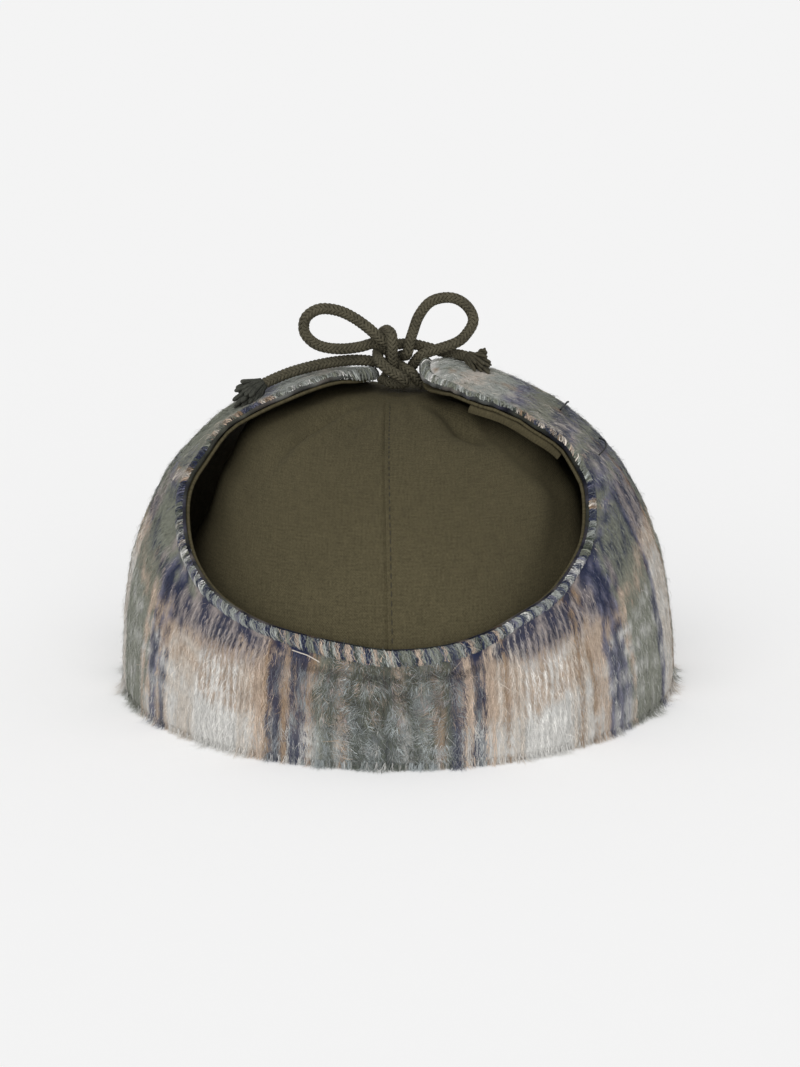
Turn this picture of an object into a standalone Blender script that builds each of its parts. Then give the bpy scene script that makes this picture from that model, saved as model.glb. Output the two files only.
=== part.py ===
"""An earflap cap: an olive cotton crown, one mohair ear and neck flap folded up all round it, and two
cords that tie the flap's tips together in a bow over the top. X runs across the cap, Y from the back of
the head to the front, and Z up from the surface that the folded rim rests on."""

import math

import bmesh
import bpy
from mathutils import Vector
from mathutils.geometry import delaunay_2d_cdt

MM = 0.001

# The crown's outside: half its width, half its length, its height, and how square the dome is, where 2 is
# an ellipsoid
HALF_WIDTH = 83 * MM
HALF_LENGTH = 107 * MM
HEIGHT = 99 * MM
SQUARENESS = 2.6
CROWN_WALL = 1.6 * MM
CROWN_FOOT = 3.4 * MM  # the crown's lower edge, which stands on the flap's fold
CROWN_COLUMNS = 48
CROWN_ROWS = (7, 15, 24, 34, 45, 56, 67, 77, 84)  # degrees down from the top

# The flap: an olive cotton layer toward the crown, and a mohair layer outside it
SHELL_THICKNESS = 1.2 * MM
MOHAIR_THICKNESS = 4.2 * MM
MOHAIR_EDGE = 3.0 * MM  # thinner where the free edge is rolled and sewn
SEWN_WIDTH = 9 * MM
SHELL_ROUNDING = (0.5 * MM, 1)
MOHAIR_ROUNDING = (1.3 * MM, 4)
CLEARANCE = 0.3 * MM
MOHAIR_BACK = SHELL_THICKNESS + CLEARANCE
LAP = 8 * MM  # the layer that lengths along the flap are measured on, outside the crown
FOLD_FALL = 88.0  # degrees down from the top where the flap's wall ends and its fold begins
GRID = 10 * MM  # size of the flap's triangles
DEGREE = 1.62 * MM  # length of one degree of the dome's quarter arc

# How far the flap stands off the crown. Each row is the degrees down from the top, and the gap at the
# neck and forehead, on the left ear and on the right ear.
STAND_OFF = (
    (0, 0.6 * MM, 3.4 * MM, 5.5 * MM),
    (12, 0.6 * MM, 3.0 * MM, 4.8 * MM),
    (25, 0.6 * MM, 2.9 * MM, 3.1 * MM),
    (40, 0.6 * MM, 4.2 * MM, 2.8 * MM),
    (55, 0.6 * MM, 5.9 * MM, 3.6 * MM),
    (75, 0.6 * MM, 7.1 * MM, 4.8 * MM),
    (90, 2.2 * MM, 7.0 * MM, 5.8 * MM),
)

# The ear flaps' back edges curl away from the crown beside their tips
CURL_WIDTH = 14 * MM
CURL_LEFT = 2.5 * MM
CURL_RIGHT = 4.5 * MM

# How far the crown falls in under the ear flaps. Each row is the degrees down from the top, and the depth.
CROWN_SAG = ((0, 0.0), (28, 0.0), (44, 5.0 * MM), (58, 8.0 * MM), (72, 6.0 * MM), (88, 0.0))

# Hollows in the crown beside the knot, which pulls the cloth between them up into a ridge, and
# swellings under the left ear flap. Each row is a place on the dome, a reach in degrees and a depth.
CROWN_RELIEF = (
    (-17.0, -13.0, 9.0, 2.2 * MM),
    (12.5, -16.0, 9.0, 2.4 * MM),
    (-33.0, 2.0, 20.0, -2.2 * MM),
    (-12.0, 6.0, 10.0, -2.2 * MM),
)

# The flap's free edge, all the way round its opening. Each row is a place on the dome: how far from the
# top it lies toward +X and toward +Y, in degrees of the dome's quarter arc, so that the rim is 90 from
# the top.
FREE_EDGE = (
    (0.0, -74.8),
    (13.8, -73.0),
    (25.0, -68.2),
    (34.0, -61.0),
    (40.5, -53.8),
    (44.3, -45.0),
    (45.8, -36.5),
    (44.2, -28.5),
    (41.2, -21.6),
    (35.5, -19.2),
    (27.6, -19.1),
    (19.3, -16.2),
    (11.2, -13.8),
    (6.0, -8.0),
    (2.9, -2.0),
    (3.8, 4.5),
    (12.0, 9.0),
    (30.0, 11.5),
    (40.0, 18.0),
    (45.2, 30.0),
    (45.0, 45.0),
    (38.5, 59.5),
    (27.0, 69.2),
    (14.0, 74.0),
    (0.0, 76.0),
    (-14.0, 74.0),
    (-27.0, 69.2),
    (-38.5, 60.0),
    (-44.5, 48.0),
    (-43.0, 38.0),
    (-37.0, 28.5),
    (-28.0, 21.0),
    (-16.0, 15.0),
    (-7.0, 10.0),
    (-3.8, 4.0),
    (-4.6, -0.8),
    (-10.0, -3.4),
    (-19.0, -7.5),
    (-30.5, -10.1),
    (-40.5, -13.0),
    (-47.2, -18.4),
    (-50.2, -28.0),
    (-50.3, -38.8),
    (-46.0, -50.6),
    (-37.2, -60.8),
    (-26.4, -67.8),
    (-13.5, -72.6),
)

# The fold under the rim, from a layer's outer face round to its inner one. Each row says how far a point
# is from the crown's outside, as a share of the gap and a length, and how high it is, in millimetres.
SHELL_FOOT = ((1, 0.7, 4.6), (1, -0.3, 3.5), (0, 0.3, 3.4), (0, 0.3, 4.4), (1, -0.9, 4.5), (1, -0.2, 5.2))
MOHAIR_FOOT = (
    (1, 5.6, 3.0),
    (1, 5.0, 1.1),
    (1, 3.8, 0.0),
    (0, -0.5, 0.0),
    (0, -1.6, 0.8),
    (0, -1.6, 3.1),
    (1, -0.5, 3.1),
    (1, 1.0, 4.2),
)

# The hook and loop tape sewn inside the right ear flap, beside its free edge
TAPE_THICKNESS = 0.9 * MM
TAPE_GAP = 0.9 * MM
TAPE_FROM_EDGE = (1.5 * MM, 11.5 * MM)
TAPE_ALONG = (130 * MM, 166 * MM)  # along the free edge from the back centre
TAPE_STEPS = (3, 8)

# The two cords. Each route runs from a flap's tip through the knot and round a loop to the cord's free
# end. Each row is a place across, toward the front and up from the middle of the knot, in millimetres.
CORD_DIAMETER = 3.3 * MM
KNOT = Vector((-2.9, 0.0, 112.3)) * MM
KNOT_REACH = 12 * MM
KNOT_STEP = 2.6 * MM
CORD_STEP = 6.5 * MM
LEFT_ROUTE = (
    (-4.1, 1.5, -8.5),
    (-2.6, 1.3, -9.6),
    (-0.5, -0.2, -10.3),
    (2.0, -1.4, -10.4),
    (4.1, -2.8, -9.9),
    (4.6, -4.7, -8.8),
    (3.3, -5.9, -7.4),
    (1.0, -5.9, -6.1),
    (-1.0, -5.7, -4.9),
    (-3.1, -4.7, -3.3),
    (-4.4, -1.8, -2.2),
    (-4.9, 1.9, -1.6),
    (-4.9, 5.3, 0.6),
    (-4.4, 5.8, 3.7),
    (-3.5, 4.4, 5.9),
    (-2.0, 1.4, 7.4),
    (-0.6, -1.8, 7.2),
    (0.1, -4.0, 5.7),
    (0.3, -4.6, 2.8),
    (0.3, -4.2, -0.1),
    (0.4, -2.6, -2.9),
    (-0.2, -0.5, -5.6),
    (0.6, 2.1, -7.4),
    (2.8, 4.3, -8.0),
    (5.2, 4.6, -7.0),
    (6.8, 3.4, -5.0),
    (7.9, 1.7, -3.1),
    (9.5, 0.0, -1.1),
    (12.5, -0.6, 0.4),
    (21.7, -0.6, 3.6),
    (25.6, 0.0, 7.1),
    (27.4, 0.5, 11.2),
    (25.6, 0.8, 15.4),
    (21.7, 0.8, 18.2),
    (17.1, 0.8, 18.6),
    (12.5, 0.6, 16.9),
    (9.0, 0.3, 12.4),
    (7.1, -0.2, 7.2),
    (5.9, -1.1, 3.5),
    (5.4, -1.0, 0.5),
    (4.5, 1.3, -1.1),
    (3.5, 5.2, -1.7),
    (1.4, 7.6, -3.0),
    (-1.4, 7.8, -4.5),
    (-4.4, 6.8, -4.6),
    (-7.6, 5.2, -3.7),
    (-13.0, 3.6, -3.2),
    (-20.0, 3.0, -3.8),
    (-27.0, 1.5, -5.0),
    (-34.0, -0.5, -6.7),
    (-40.0, -3.0, -8.8),
    (-45.0, -6.0, -10.9),
)
RIGHT_ROUTE = (
    (12.5, 0.5, -11.1),
    (9.9, -0.5, -10.4),
    (8.1, -1.7, -8.4),
    (6.4, -2.0, -6.4),
    (3.9, -0.4, -5.2),
    (2.3, 1.7, -4.3),
    (0.6, 2.7, -2.7),
    (-0.9, 2.3, -0.6),
    (-2.4, 1.9, 1.4),
    (-4.5, 1.7, 2.6),
    (-7.1, 1.4, 2.8),
    (-10.4, 0.8, 1.9),
    (-16.3, 0.0, 1.2),
    (-22.2, 0.0, 1.6),
    (-26.6, 0.0, 3.3),
    (-29.6, 0.0, 7.0),
    (-29.0, 0.0, 11.8),
    (-24.5, 0.0, 14.7),
    (-18.3, -0.4, 14.3),
    (-13.0, -0.8, 12.0),
    (-8.1, -1.6, 8.7),
    (-5.5, -2.4, 6.5),
    (-3.5, -2.2, 4.7),
    (-1.2, -1.2, 3.5),
    (0.6, 0.1, 2.9),
    (2.8, 2.2, 2.6),
    (5.6, 3.4, 2.6),
    (8.6, 3.9, 2.0),
    (12.5, 4.4, 0.9),
    (19.0, 4.2, -0.8),
    (24.0, 1.6, -1.2),
    (27.0, -1.0, -1.9),
)

# The cords' frayed ends
TUFT_LENGTH = 9.0 * MM
TUFT_RADIUS = 3.2 * MM
TUFT_LOCKS = 7
TUFT_RIDGE = 0.3
TUFT_RIPPLE = 0.5 * MM
# Each row is a share of the bulb's length, and the radius there as a share of the full one
TUFT_PROFILE = (
    (0.0, 0.42),
    (0.12, 0.62),
    (0.32, 0.88),
    (0.55, 1.0),
    (0.78, 0.92),
    (0.94, 0.62),
    (1.0, 0.25),
)

# Each finish is a colour and a roughness
OLIVE_COTTON = ((0.085, 0.074, 0.044), 0.9)
OLIVE_BRAID = ((0.062, 0.058, 0.040), 0.85)
OLIVE_TAPE = ((0.070, 0.060, 0.036), 0.8)
PLAID_MOHAIR = ((0.30, 0.29, 0.25), 0.95)


def smoothstep(low, high, value):
    share = min(max((value - low) / (high - low), 0.0), 1.0)
    return share * share * (3 - 2 * share)


def blend(first, second, share):
    return first + (second - first) * share


def bearing_and_fall(place):
    """A place's bearing from the back centre toward +X, in radians, and its degrees down from the top."""
    return math.atan2(place[0], -place[1]), math.hypot(place[0], place[1])


def dome(place, offset=0.0):
    """The point over a place on the dome, this far outside the crown's outer face."""
    bearing, fall = bearing_and_fall(place)
    reach = math.sin(math.radians(fall)) ** (2 / SQUARENESS)
    rise = math.cos(math.radians(fall)) ** (2 / SQUARENESS)
    x = HALF_WIDTH * reach * math.sin(bearing)
    y = -HALF_LENGTH * reach * math.cos(bearing)
    point = Vector((x, y, HEIGHT * rise))
    return point + offset * dome_normal(point)


def dome_normal(point):
    span = max(math.hypot(point.x / HALF_WIDTH, point.y / HALF_LENGTH), 1e-6) ** (SQUARENESS - 2)
    up = point.z ** (SQUARENESS - 1) / HEIGHT**SQUARENESS
    return Vector((span * point.x / HALF_WIDTH**2, span * point.y / HALF_LENGTH**2, up)).normalized()


def at_rim(bearing, out, up):
    """The point at this height and this far outside the crown's upright lower wall."""
    x = HALF_WIDTH * math.sin(bearing)
    y = -HALF_LENGTH * math.cos(bearing)
    outward = Vector((x / HALF_WIDTH**2, y / HALF_LENGTH**2, 0)).normalized()
    return Vector((x, y, up)) + out * outward


def on_flap(place):
    return dome(place, LAP)


def smooth_path(points, closed=False, parts=8):
    """Points along a smooth curve through the given ones."""
    points = [Vector(point) for point in points]
    count = len(points)
    path = []
    for i in range(count if closed else count - 1):
        if closed:
            a, b, c, d = (points[(i + k) % count] for k in (-1, 0, 1, 2))
        else:
            a, b, c, d = points[max(i - 1, 0)], points[i], points[i + 1], points[min(i + 2, count - 1)]
        for t in (k / parts for k in range(parts)):
            bend = (2 * a - 5 * b + 4 * c - d) * t**2 + (3 * b - a - 3 * c + d) * t**3
            path.append(0.5 * (2 * b + (c - a) * t + bend))
    return path if closed else path + [points[-1]]


def lengths_along(path, measure):
    lengths = [0.0]
    for first, second in zip(path, path[1:]):
        lengths.append(lengths[-1] + (measure(second) - measure(first)).length)
    return lengths


def point_at(path, lengths, goal):
    """The point this far along a path."""
    k = max(i for i in range(len(lengths) - 1) if lengths[i] <= goal or i == 0)
    share = (goal - lengths[k]) / max(lengths[k + 1] - lengths[k], 1e-12)
    return path[k].lerp(path[k + 1], share)


def ring_points(path, spacing):
    """Places at even steps along a closed path on the flap."""
    ring = path + path[:1]
    lengths = lengths_along(ring, on_flap)
    count = round(lengths[-1] / spacing)
    return [point_at(ring, lengths, lengths[-1] * i / count) for i in range(count)]


EDGE_PATH = smooth_path(FREE_EDGE, closed=True)
EDGE_POINTS = [on_flap(place) for place in EDGE_PATH]


def edge_distance(place):
    """How far a place on the flap is from its free edge."""
    here = on_flap(place)
    return min((here - point).length for point in EDGE_POINTS)


def read_table(rows, column, goal):
    """A value between the rows of a table whose first column rises."""
    for low, high in zip(rows, rows[1:]):
        if goal <= high[0]:
            return blend(low[column], high[column], smoothstep(low[0], high[0], goal))
    return rows[-1][column]


def stand_off(place, from_edge):
    """The gap between the crown and the flap, at a place this far from its free edge."""
    bearing, fall = bearing_and_fall(place)
    right = place[0] > 0
    neck = read_table(STAND_OFF, 1, fall)
    ear = read_table(STAND_OFF, 3 if right else 2, fall)
    gap = blend(neck, ear, math.sin(bearing) ** 2)
    curl = (CURL_RIGHT if right else CURL_LEFT) * max(1 - from_edge / CURL_WIDTH, 0) ** 2
    along = smoothstep(2, 10, abs(place[0])) * (1 - smoothstep(34, 46, fall))
    return gap + curl * along * (1 - smoothstep(-2, 7, place[1]))


def crown_inset(place):
    """How far the crown's cloth lies inside the plain dome."""
    bearing, fall = bearing_and_fall(place)
    inset = read_table(CROWN_SAG, 1, fall) * math.sin(bearing) ** 2
    for x, y, reach, depth in CROWN_RELIEF:
        inset += depth * (1 - smoothstep(0, reach, math.hypot(place[0] - x, place[1] - y)))
    return inset


def mohair_thickness(from_edge):
    return blend(MOHAIR_EDGE, MOHAIR_THICKNESS, smoothstep(2 * MM, SEWN_WIDTH, from_edge))


def step_in(ring, distance):
    """The places this far inside the flap from each place of its free edge."""
    row = []
    for i, place in enumerate(ring):
        along = ring[(i + 1) % len(ring)] - ring[i - 1]
        inward = Vector((along.y, -along.x)).normalized()
        row.append(place + inward * distance / (on_flap(place + inward) - on_flap(place)).length)
    return row


def inside_ring(place, ring):
    inside = False
    for a, b in zip(ring, ring[1:] + ring[:1]):
        if (a.y > place.y) != (b.y > place.y):
            if place.x < a.x + (b.x - a.x) * (place.y - a.y) / (b.y - a.y):
                inside = not inside
    return inside


def grid_places(step):
    """Places on an even triangular grid that covers the dome."""
    reach = math.ceil(FOLD_FALL / step) + 1
    for row in range(-reach, reach + 1):
        for column in range(-reach, reach + 1):
            yield Vector(((column + 0.5 * (row % 2)) * step, row * step * math.sqrt(0.75)))


def flap_mesh():
    """The flap laid out on the dome: its places, its triangles, and the indices of the places that run
    round its free edge and round its fold."""
    free = ring_points(EDGE_PATH, GRID * 0.9)
    bearings = [math.radians(degrees) for degrees in range(0, 360, 2)]
    circle = [Vector((FOLD_FALL * math.sin(a), -FOLD_FALL * math.cos(a))) for a in bearings]
    fold = ring_points(circle, GRID * 0.9)
    places = free + fold
    step = GRID / DEGREE
    for distance in (0.5 * SEWN_WIDTH, SEWN_WIDTH):
        for place in step_in(free, distance):
            apart = min((place - other).length for other in places)
            if apart > 0.35 * step and edge_distance(place) > 0.85 * distance:
                places.append(place)
    for place in grid_places(step):
        if place.length < FOLD_FALL - 0.6 * step and not inside_ring(place, free):
            if edge_distance(place) > 1.4 * SEWN_WIDTH:
                places.append(place)
    free_row = list(range(len(free)))
    fold_row = list(range(len(free), len(free) + len(fold)))
    edges = [(row[i - 1], row[i]) for row in (free_row, fold_row) for i in range(len(row))]
    found = delaunay_2d_cdt(places, edges, [], 0, 1e-7)
    source = [group[0] for group in found[3]]
    triangles = []
    for face in found[2]:
        corners = [source[k] for k in face]
        middle = sum((places[k] for k in corners), Vector((0, 0))) / 3
        if middle.length < FOLD_FALL and not inside_ring(middle, free):
            triangles.append(corners)
    return places, triangles, free_row, fold_row


def rounded_edge(outer, inner, along, bulge, steps):
    """Points of a half ellipse from an outer point round to an inner one, bulging away from the flap."""
    middle = (outer + inner) / 2
    half = (outer - inner) / 2
    away = half.cross(along).normalized() * bulge
    angles = [math.pi * k / (steps + 1) for k in range(1, steps + 1)]
    return [middle + half * math.cos(angle) + away * math.sin(angle) for angle in angles]


def flap_layer(name, finish, layout, inner, outer, rounding, foot):
    """One layer of the flap as a closed solid. inner and outer give how far its two faces lie from the
    crown at a place and a distance from the free edge, rounding is the free edge's bulge and steps, and
    foot is the fold's outline."""
    places, triangles, free_row, fold_row = layout
    count = len(places)
    distances = [edge_distance(place) for place in places]
    points = [dome(place, outer(place, distance)) for place, distance in zip(places, distances)]
    points += [dome(place, inner(place, distance)) for place, distance in zip(places, distances)]
    faces = triangles + [[count + k for k in reversed(corners)] for corners in triangles]
    rows = []
    for i, k in enumerate(free_row):
        along = points[free_row[(i + 1) % len(free_row)]] - points[free_row[i - 1]]
        rows.append(rounded_edge(points[k], points[count + k], along, *rounding))
    for k in fold_row:
        bearing = bearing_and_fall(places[k])[0]
        gap = stand_off(places[k], CURL_WIDTH)
        rows.append([at_rim(bearing, gap * share + out * MM, up * MM) for share, out, up in foot])
    columns = []
    for k, row in zip(free_row + fold_row, rows):
        columns.append([k, *range(len(points), len(points) + len(row)), count + k])
        points += row
    for ring in (columns[: len(free_row)], columns[len(free_row) :]):
        for first, second in zip(ring, ring[1:] + ring[:1]):
            faces += [list(corners) for corners in zip(first, first[1:], second[1:], second)]
    return solid(name, finish, points, faces)


def cloth(name, finish):
    colour, roughness = finish
    material = bpy.data.materials.new(name + "_cloth")
    material.use_nodes = True
    shader = material.node_tree.nodes["Principled BSDF"]
    shader.inputs["Base Color"].default_value = (*colour, 1.0)
    shader.inputs["Roughness"].default_value = roughness
    shader.inputs["Metallic"].default_value = 0.0
    return material


def place_piece(name, data, finish):
    """An object of this name and finish in the scene."""
    data.materials.append(cloth(name, finish))
    obj = bpy.data.objects.new(name, data)
    bpy.context.collection.objects.link(obj)
    return obj


def solid(name, finish, points, faces):
    """A closed smooth object with its faces turned outward."""
    mesh = bpy.data.meshes.new(name)
    mesh.from_pydata(points, [], faces)
    work = bmesh.new()
    work.from_mesh(mesh)
    bmesh.ops.recalc_face_normals(work, faces=work.faces)
    work.to_mesh(mesh)
    work.free()
    mesh.shade_smooth()
    mesh.set_sharp_from_angle(angle=math.radians(50))
    return place_piece(name, mesh, finish)


def crown():
    """The hollow dome of the cap, open below."""
    bearings = [math.tau * k / CROWN_COLUMNS for k in range(CROWN_COLUMNS)]
    rings = []
    for offset in (0.0, -CROWN_WALL):
        face = []
        for fall in CROWN_ROWS:
            around = [(fall * math.sin(b), -fall * math.cos(b)) for b in bearings]
            face.append([dome(place, offset - crown_inset(place)) for place in around])
        face.append([at_rim(b, offset, CROWN_FOOT) for b in bearings])
        rings += face if offset == 0 else reversed(face)
    points = [dome((0, 0)), dome((0, 0), -CROWN_WALL)]
    faces = []
    for k, ring in enumerate(rings):
        points += ring
        first = 2 + k * CROWN_COLUMNS
        for i in range(CROWN_COLUMNS):
            j = (i + 1) % CROWN_COLUMNS
            if k == 0:
                faces.append([0, first + i, first + j])
            else:
                faces.append([first + j - CROWN_COLUMNS, first + i - CROWN_COLUMNS, first + i, first + j])
            if k == len(rings) - 1:
                faces.append([1, first + j, first + i])
    return solid("crown", OLIVE_COTTON, points, faces)


def tape():
    """A flat strip on the inner face of the right ear flap, bent with it."""
    ring = EDGE_PATH + EDGE_PATH[:1]
    lengths = lengths_along(ring, on_flap)
    across, along = TAPE_STEPS
    faces = []
    points = []
    for side in (0, 1):
        for i in range(along + 1):
            place = point_at(ring, lengths, blend(*TAPE_ALONG, i / along))
            ahead = point_at(ring, lengths, blend(*TAPE_ALONG, i / along) + MM) - place
            inward = Vector((ahead.y, -ahead.x)).normalized()
            scale = (on_flap(place + inward) - on_flap(place)).length
            for j in range(across + 1):
                spot = place + inward * blend(*TAPE_FROM_EDGE, j / across) / scale
                gap = stand_off(spot, edge_distance(spot))
                points.append(dome(spot, gap - TAPE_GAP - side * TAPE_THICKNESS))
    width = across + 1
    layer = width * (along + 1)
    for i in range(along):
        for j in range(across):
            a = i * width + j
            faces.append([a, a + 1, a + width + 1, a + width])
            faces.append([layer + a, layer + a + width, layer + a + width + 1, layer + a + 1])
    border = [i * width for i in range(along)] + [along * width + j for j in range(across)]
    border += [i * width + across for i in range(along, 0, -1)] + list(range(across, 0, -1))
    for a, b in zip(border, border[1:] + border[:1]):
        faces.append([a, b, layer + b, layer + a])
    return solid("fastening_tape", OLIVE_TAPE, points, faces)


def cord_points(route):
    """The route as places about the middle of the knot, close together in it and further apart outside."""
    path = smooth_path([Vector(place) * MM for place in route])
    lengths = lengths_along(path, lambda point: point)
    points = [path[0]]
    goal = 0.0
    while True:
        goal += KNOT_STEP if points[-1].length < KNOT_REACH else CORD_STEP
        if goal > lengths[-1] - KNOT_STEP:
            return points + [path[-1]]
        points.append(point_at(path, lengths, goal))


def cord(name, points):
    curve = bpy.data.curves.new(name, "CURVE")
    curve.dimensions = "3D"
    curve.bevel_depth = CORD_DIAMETER / 2
    curve.bevel_resolution = 2
    curve.use_fill_caps = True
    curve.resolution_u = 1
    curve.render_resolution_u = 0
    spline = curve.splines.new("POLY")
    spline.points.add(len(points) - 1)
    for spot, point in zip(spline.points, points):
        spot.co = (*point, 1.0)
    obj = place_piece(name, curve, OLIVE_BRAID)
    obj.location = KNOT
    return obj


def cord_end(name, points):
    """A cord's frayed end: locks of loose yarn fused into one ribbed bulb along Z, which narrows toward
    the cord and lies level with its underside."""
    sides = 3 * TUFT_LOCKS
    vertices = []
    for along, radius in TUFT_PROFILE:
        widest = TUFT_RADIUS * radius * (1 + TUFT_RIDGE * along)
        raised = max(widest - CORD_DIAMETER / 2, 0)
        for i in range(sides):
            angle = math.tau * i / sides
            wave = along * math.cos(TUFT_LOCKS * angle)
            reach = TUFT_RADIUS * radius * (1 + TUFT_RIDGE * wave)
            height = along * TUFT_LENGTH + TUFT_RIPPLE * wave
            vertices.append((reach * math.cos(angle), reach * math.sin(angle) + raised, height))
    faces = [list(range(sides)), list(range(len(vertices) - sides, len(vertices)))]
    for k in range(len(TUFT_PROFILE) - 1):
        for i in range(sides):
            j = (i + 1) % sides
            faces.append([k * sides + i, k * sides + j, (k + 1) * sides + j, (k + 1) * sides + i])
    obj = solid(name, OLIVE_BRAID, vertices, faces)
    direction = (points[-1] - points[-2]).normalized()
    obj.location = KNOT + points[-1] + direction * CLEARANCE
    obj.rotation_mode = "QUATERNION"
    obj.rotation_quaternion = direction.to_track_quat("Z", "Y")
    return obj


def flap():
    """The flap's cotton layer and its mohair layer."""
    layout = flap_mesh()
    yield flap_layer(
        "flap_shell",
        OLIVE_COTTON,
        layout,
        lambda place, distance: stand_off(place, distance),
        lambda place, distance: stand_off(place, distance) + SHELL_THICKNESS,
        SHELL_ROUNDING,
        SHELL_FOOT,
    )
    yield flap_layer(
        "flap_mohair",
        PLAID_MOHAIR,
        layout,
        lambda place, distance: stand_off(place, distance) + MOHAIR_BACK,
        lambda place, distance: stand_off(place, distance) + MOHAIR_BACK + mohair_thickness(distance),
        MOHAIR_ROUNDING,
        MOHAIR_FOOT,
    )


def build():
    for obj in list(bpy.data.objects):
        bpy.data.objects.remove(obj, do_unlink=True)
    pieces = [crown(), *flap(), tape()]
    for side, route in (("left", LEFT_ROUTE), ("right", RIGHT_ROUTE)):
        points = cord_points(route)
        pieces += [cord("cord_" + side, points), cord_end("cord_end_" + side, points)]
    cap = bpy.data.objects.new("earflap_cap", None)
    bpy.context.collection.objects.link(cap)
    for piece in pieces:
        piece.parent = cap


build()
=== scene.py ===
"""The looks of the earflap cap: its olive cotton, its brushed plaid mohair and its braided cords.

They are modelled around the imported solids. X runs across the cap, Y from the back of the head to the
front, and Z up from the surface that the folded rim rests on. Lengths are in metres."""

import math

import bmesh
import bpy
import numpy as np
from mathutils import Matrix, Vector
from mathutils.geometry import delaunay_2d_cdt


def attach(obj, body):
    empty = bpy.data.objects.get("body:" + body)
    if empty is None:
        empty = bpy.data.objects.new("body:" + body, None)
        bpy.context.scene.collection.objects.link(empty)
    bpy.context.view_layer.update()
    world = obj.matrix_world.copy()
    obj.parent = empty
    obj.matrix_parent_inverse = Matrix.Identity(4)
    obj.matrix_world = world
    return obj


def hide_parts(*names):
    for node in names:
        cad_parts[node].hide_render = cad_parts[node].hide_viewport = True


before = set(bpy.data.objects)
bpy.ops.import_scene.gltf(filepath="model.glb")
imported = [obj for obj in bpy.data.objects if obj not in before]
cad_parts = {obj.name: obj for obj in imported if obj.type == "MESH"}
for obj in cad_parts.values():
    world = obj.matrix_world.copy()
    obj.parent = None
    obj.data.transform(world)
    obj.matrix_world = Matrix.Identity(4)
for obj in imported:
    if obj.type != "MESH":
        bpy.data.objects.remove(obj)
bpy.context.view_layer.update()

MM = 0.001
SEED = 11

# The view of the photograph: the camera's bearing from behind the cap, its elevation, distance and lens
VIEW_AZIMUTH = math.radians(1.7)
VIEW_ELEVATION = math.radians(12.5)
VIEW_DISTANCE = 1.015
VIEW_TARGET = Vector((-0.0002, 0.0, 0.0497))
LENS = 100.0
SENSOR = 36.0

# The crown and the flap follow the same named sizes as the solids
HALF_WIDTH = 83 * MM
HALF_LENGTH = 107 * MM
HEIGHT = 99 * MM
SQUARENESS = 2.6
CROWN_WALL = 1.6 * MM
CROWN_FOOT = 3.4 * MM
SHELL_THICKNESS = 1.2 * MM
MOHAIR_THICKNESS = 4.2 * MM
CLEARANCE = 0.3 * MM
MOHAIR_BACK = SHELL_THICKNESS + CLEARANCE
LAP = 8 * MM  # how far outside the crown the flap's own lengths are measured

# A place over the dome is given across and toward the front, as degrees down from its top
FOLD_FALL = 88.0  # where the flap's fold begins
DEGREE = 1.62 * MM  # the cloth's length for each degree down

# The gap between the crown and the flap. Each row is how far down it lies, and the gap at the neck, the left
# ear and the right ear
STAND_OFF = (
    (0, 0.6 * MM, 3.4 * MM, 5.5 * MM),
    (12, 0.6 * MM, 3.0 * MM, 4.8 * MM),
    (25, 0.6 * MM, 2.9 * MM, 3.1 * MM),
    (40, 0.6 * MM, 4.2 * MM, 2.8 * MM),
    (55, 0.6 * MM, 5.9 * MM, 3.6 * MM),
    (75, 0.6 * MM, 7.1 * MM, 4.8 * MM),
    (90, 2.2 * MM, 7.0 * MM, 5.8 * MM),
)
CURL_WIDTH = 14 * MM  # the flap's free edge curls away from the crown over this width
CURL_LEFT = 2.5 * MM
CURL_RIGHT = 4.5 * MM

# How far the crown's sides lie inside the plain dome, by the degrees down, and its hollows and swells. Each
# of these has a place, a reach in degrees and a depth
CROWN_SAG = ((0, 0.0), (28, 0.0), (44, 5.0 * MM), (58, 8.0 * MM), (72, 6.0 * MM), (88, 0.0))
CROWN_RELIEF = (
    (-17.0, -13.0, 9.0, 2.2 * MM), (12.5, -16.0, 9.0, 2.4 * MM),
    (-33.0, 2.0, 20.0, -2.2 * MM), (-12.0, 6.0, 10.0, -2.2 * MM),
)

# The flap's free edge, from the back centre round by the right ear's tip, the front and the left ear's tip
FREE_EDGE = (
    (0.0, -74.8), (13.8, -73.0), (25.0, -68.2), (34.0, -61.0), (40.5, -53.8), (44.3, -45.0),
    (45.8, -36.5), (44.2, -28.5), (41.2, -21.6), (35.5, -19.2), (27.6, -19.1), (19.3, -16.2),
    (11.2, -13.8), (6.0, -8.0), (2.9, -2.0), (3.8, 4.5), (12.0, 9.0), (30.0, 11.5), (40.0, 18.0),
    (45.2, 30.0), (45.0, 45.0), (38.5, 59.5), (27.0, 69.2), (14.0, 74.0), (0.0, 76.0), (-14.0, 74.0),
    (-27.0, 69.2), (-38.5, 60.0), (-44.5, 48.0), (-43.0, 38.0), (-37.0, 28.5), (-28.0, 21.0),
    (-16.0, 15.0), (-7.0, 10.0), (-3.8, 4.0), (-4.6, -0.8), (-10.0, -3.4), (-19.0, -7.5),
    (-30.5, -10.1), (-40.5, -13.0), (-47.2, -18.4), (-50.2, -28.0), (-50.3, -38.8), (-46.0, -50.6),
    (-37.2, -60.8), (-26.4, -67.8), (-13.5, -72.6),
)

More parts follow.
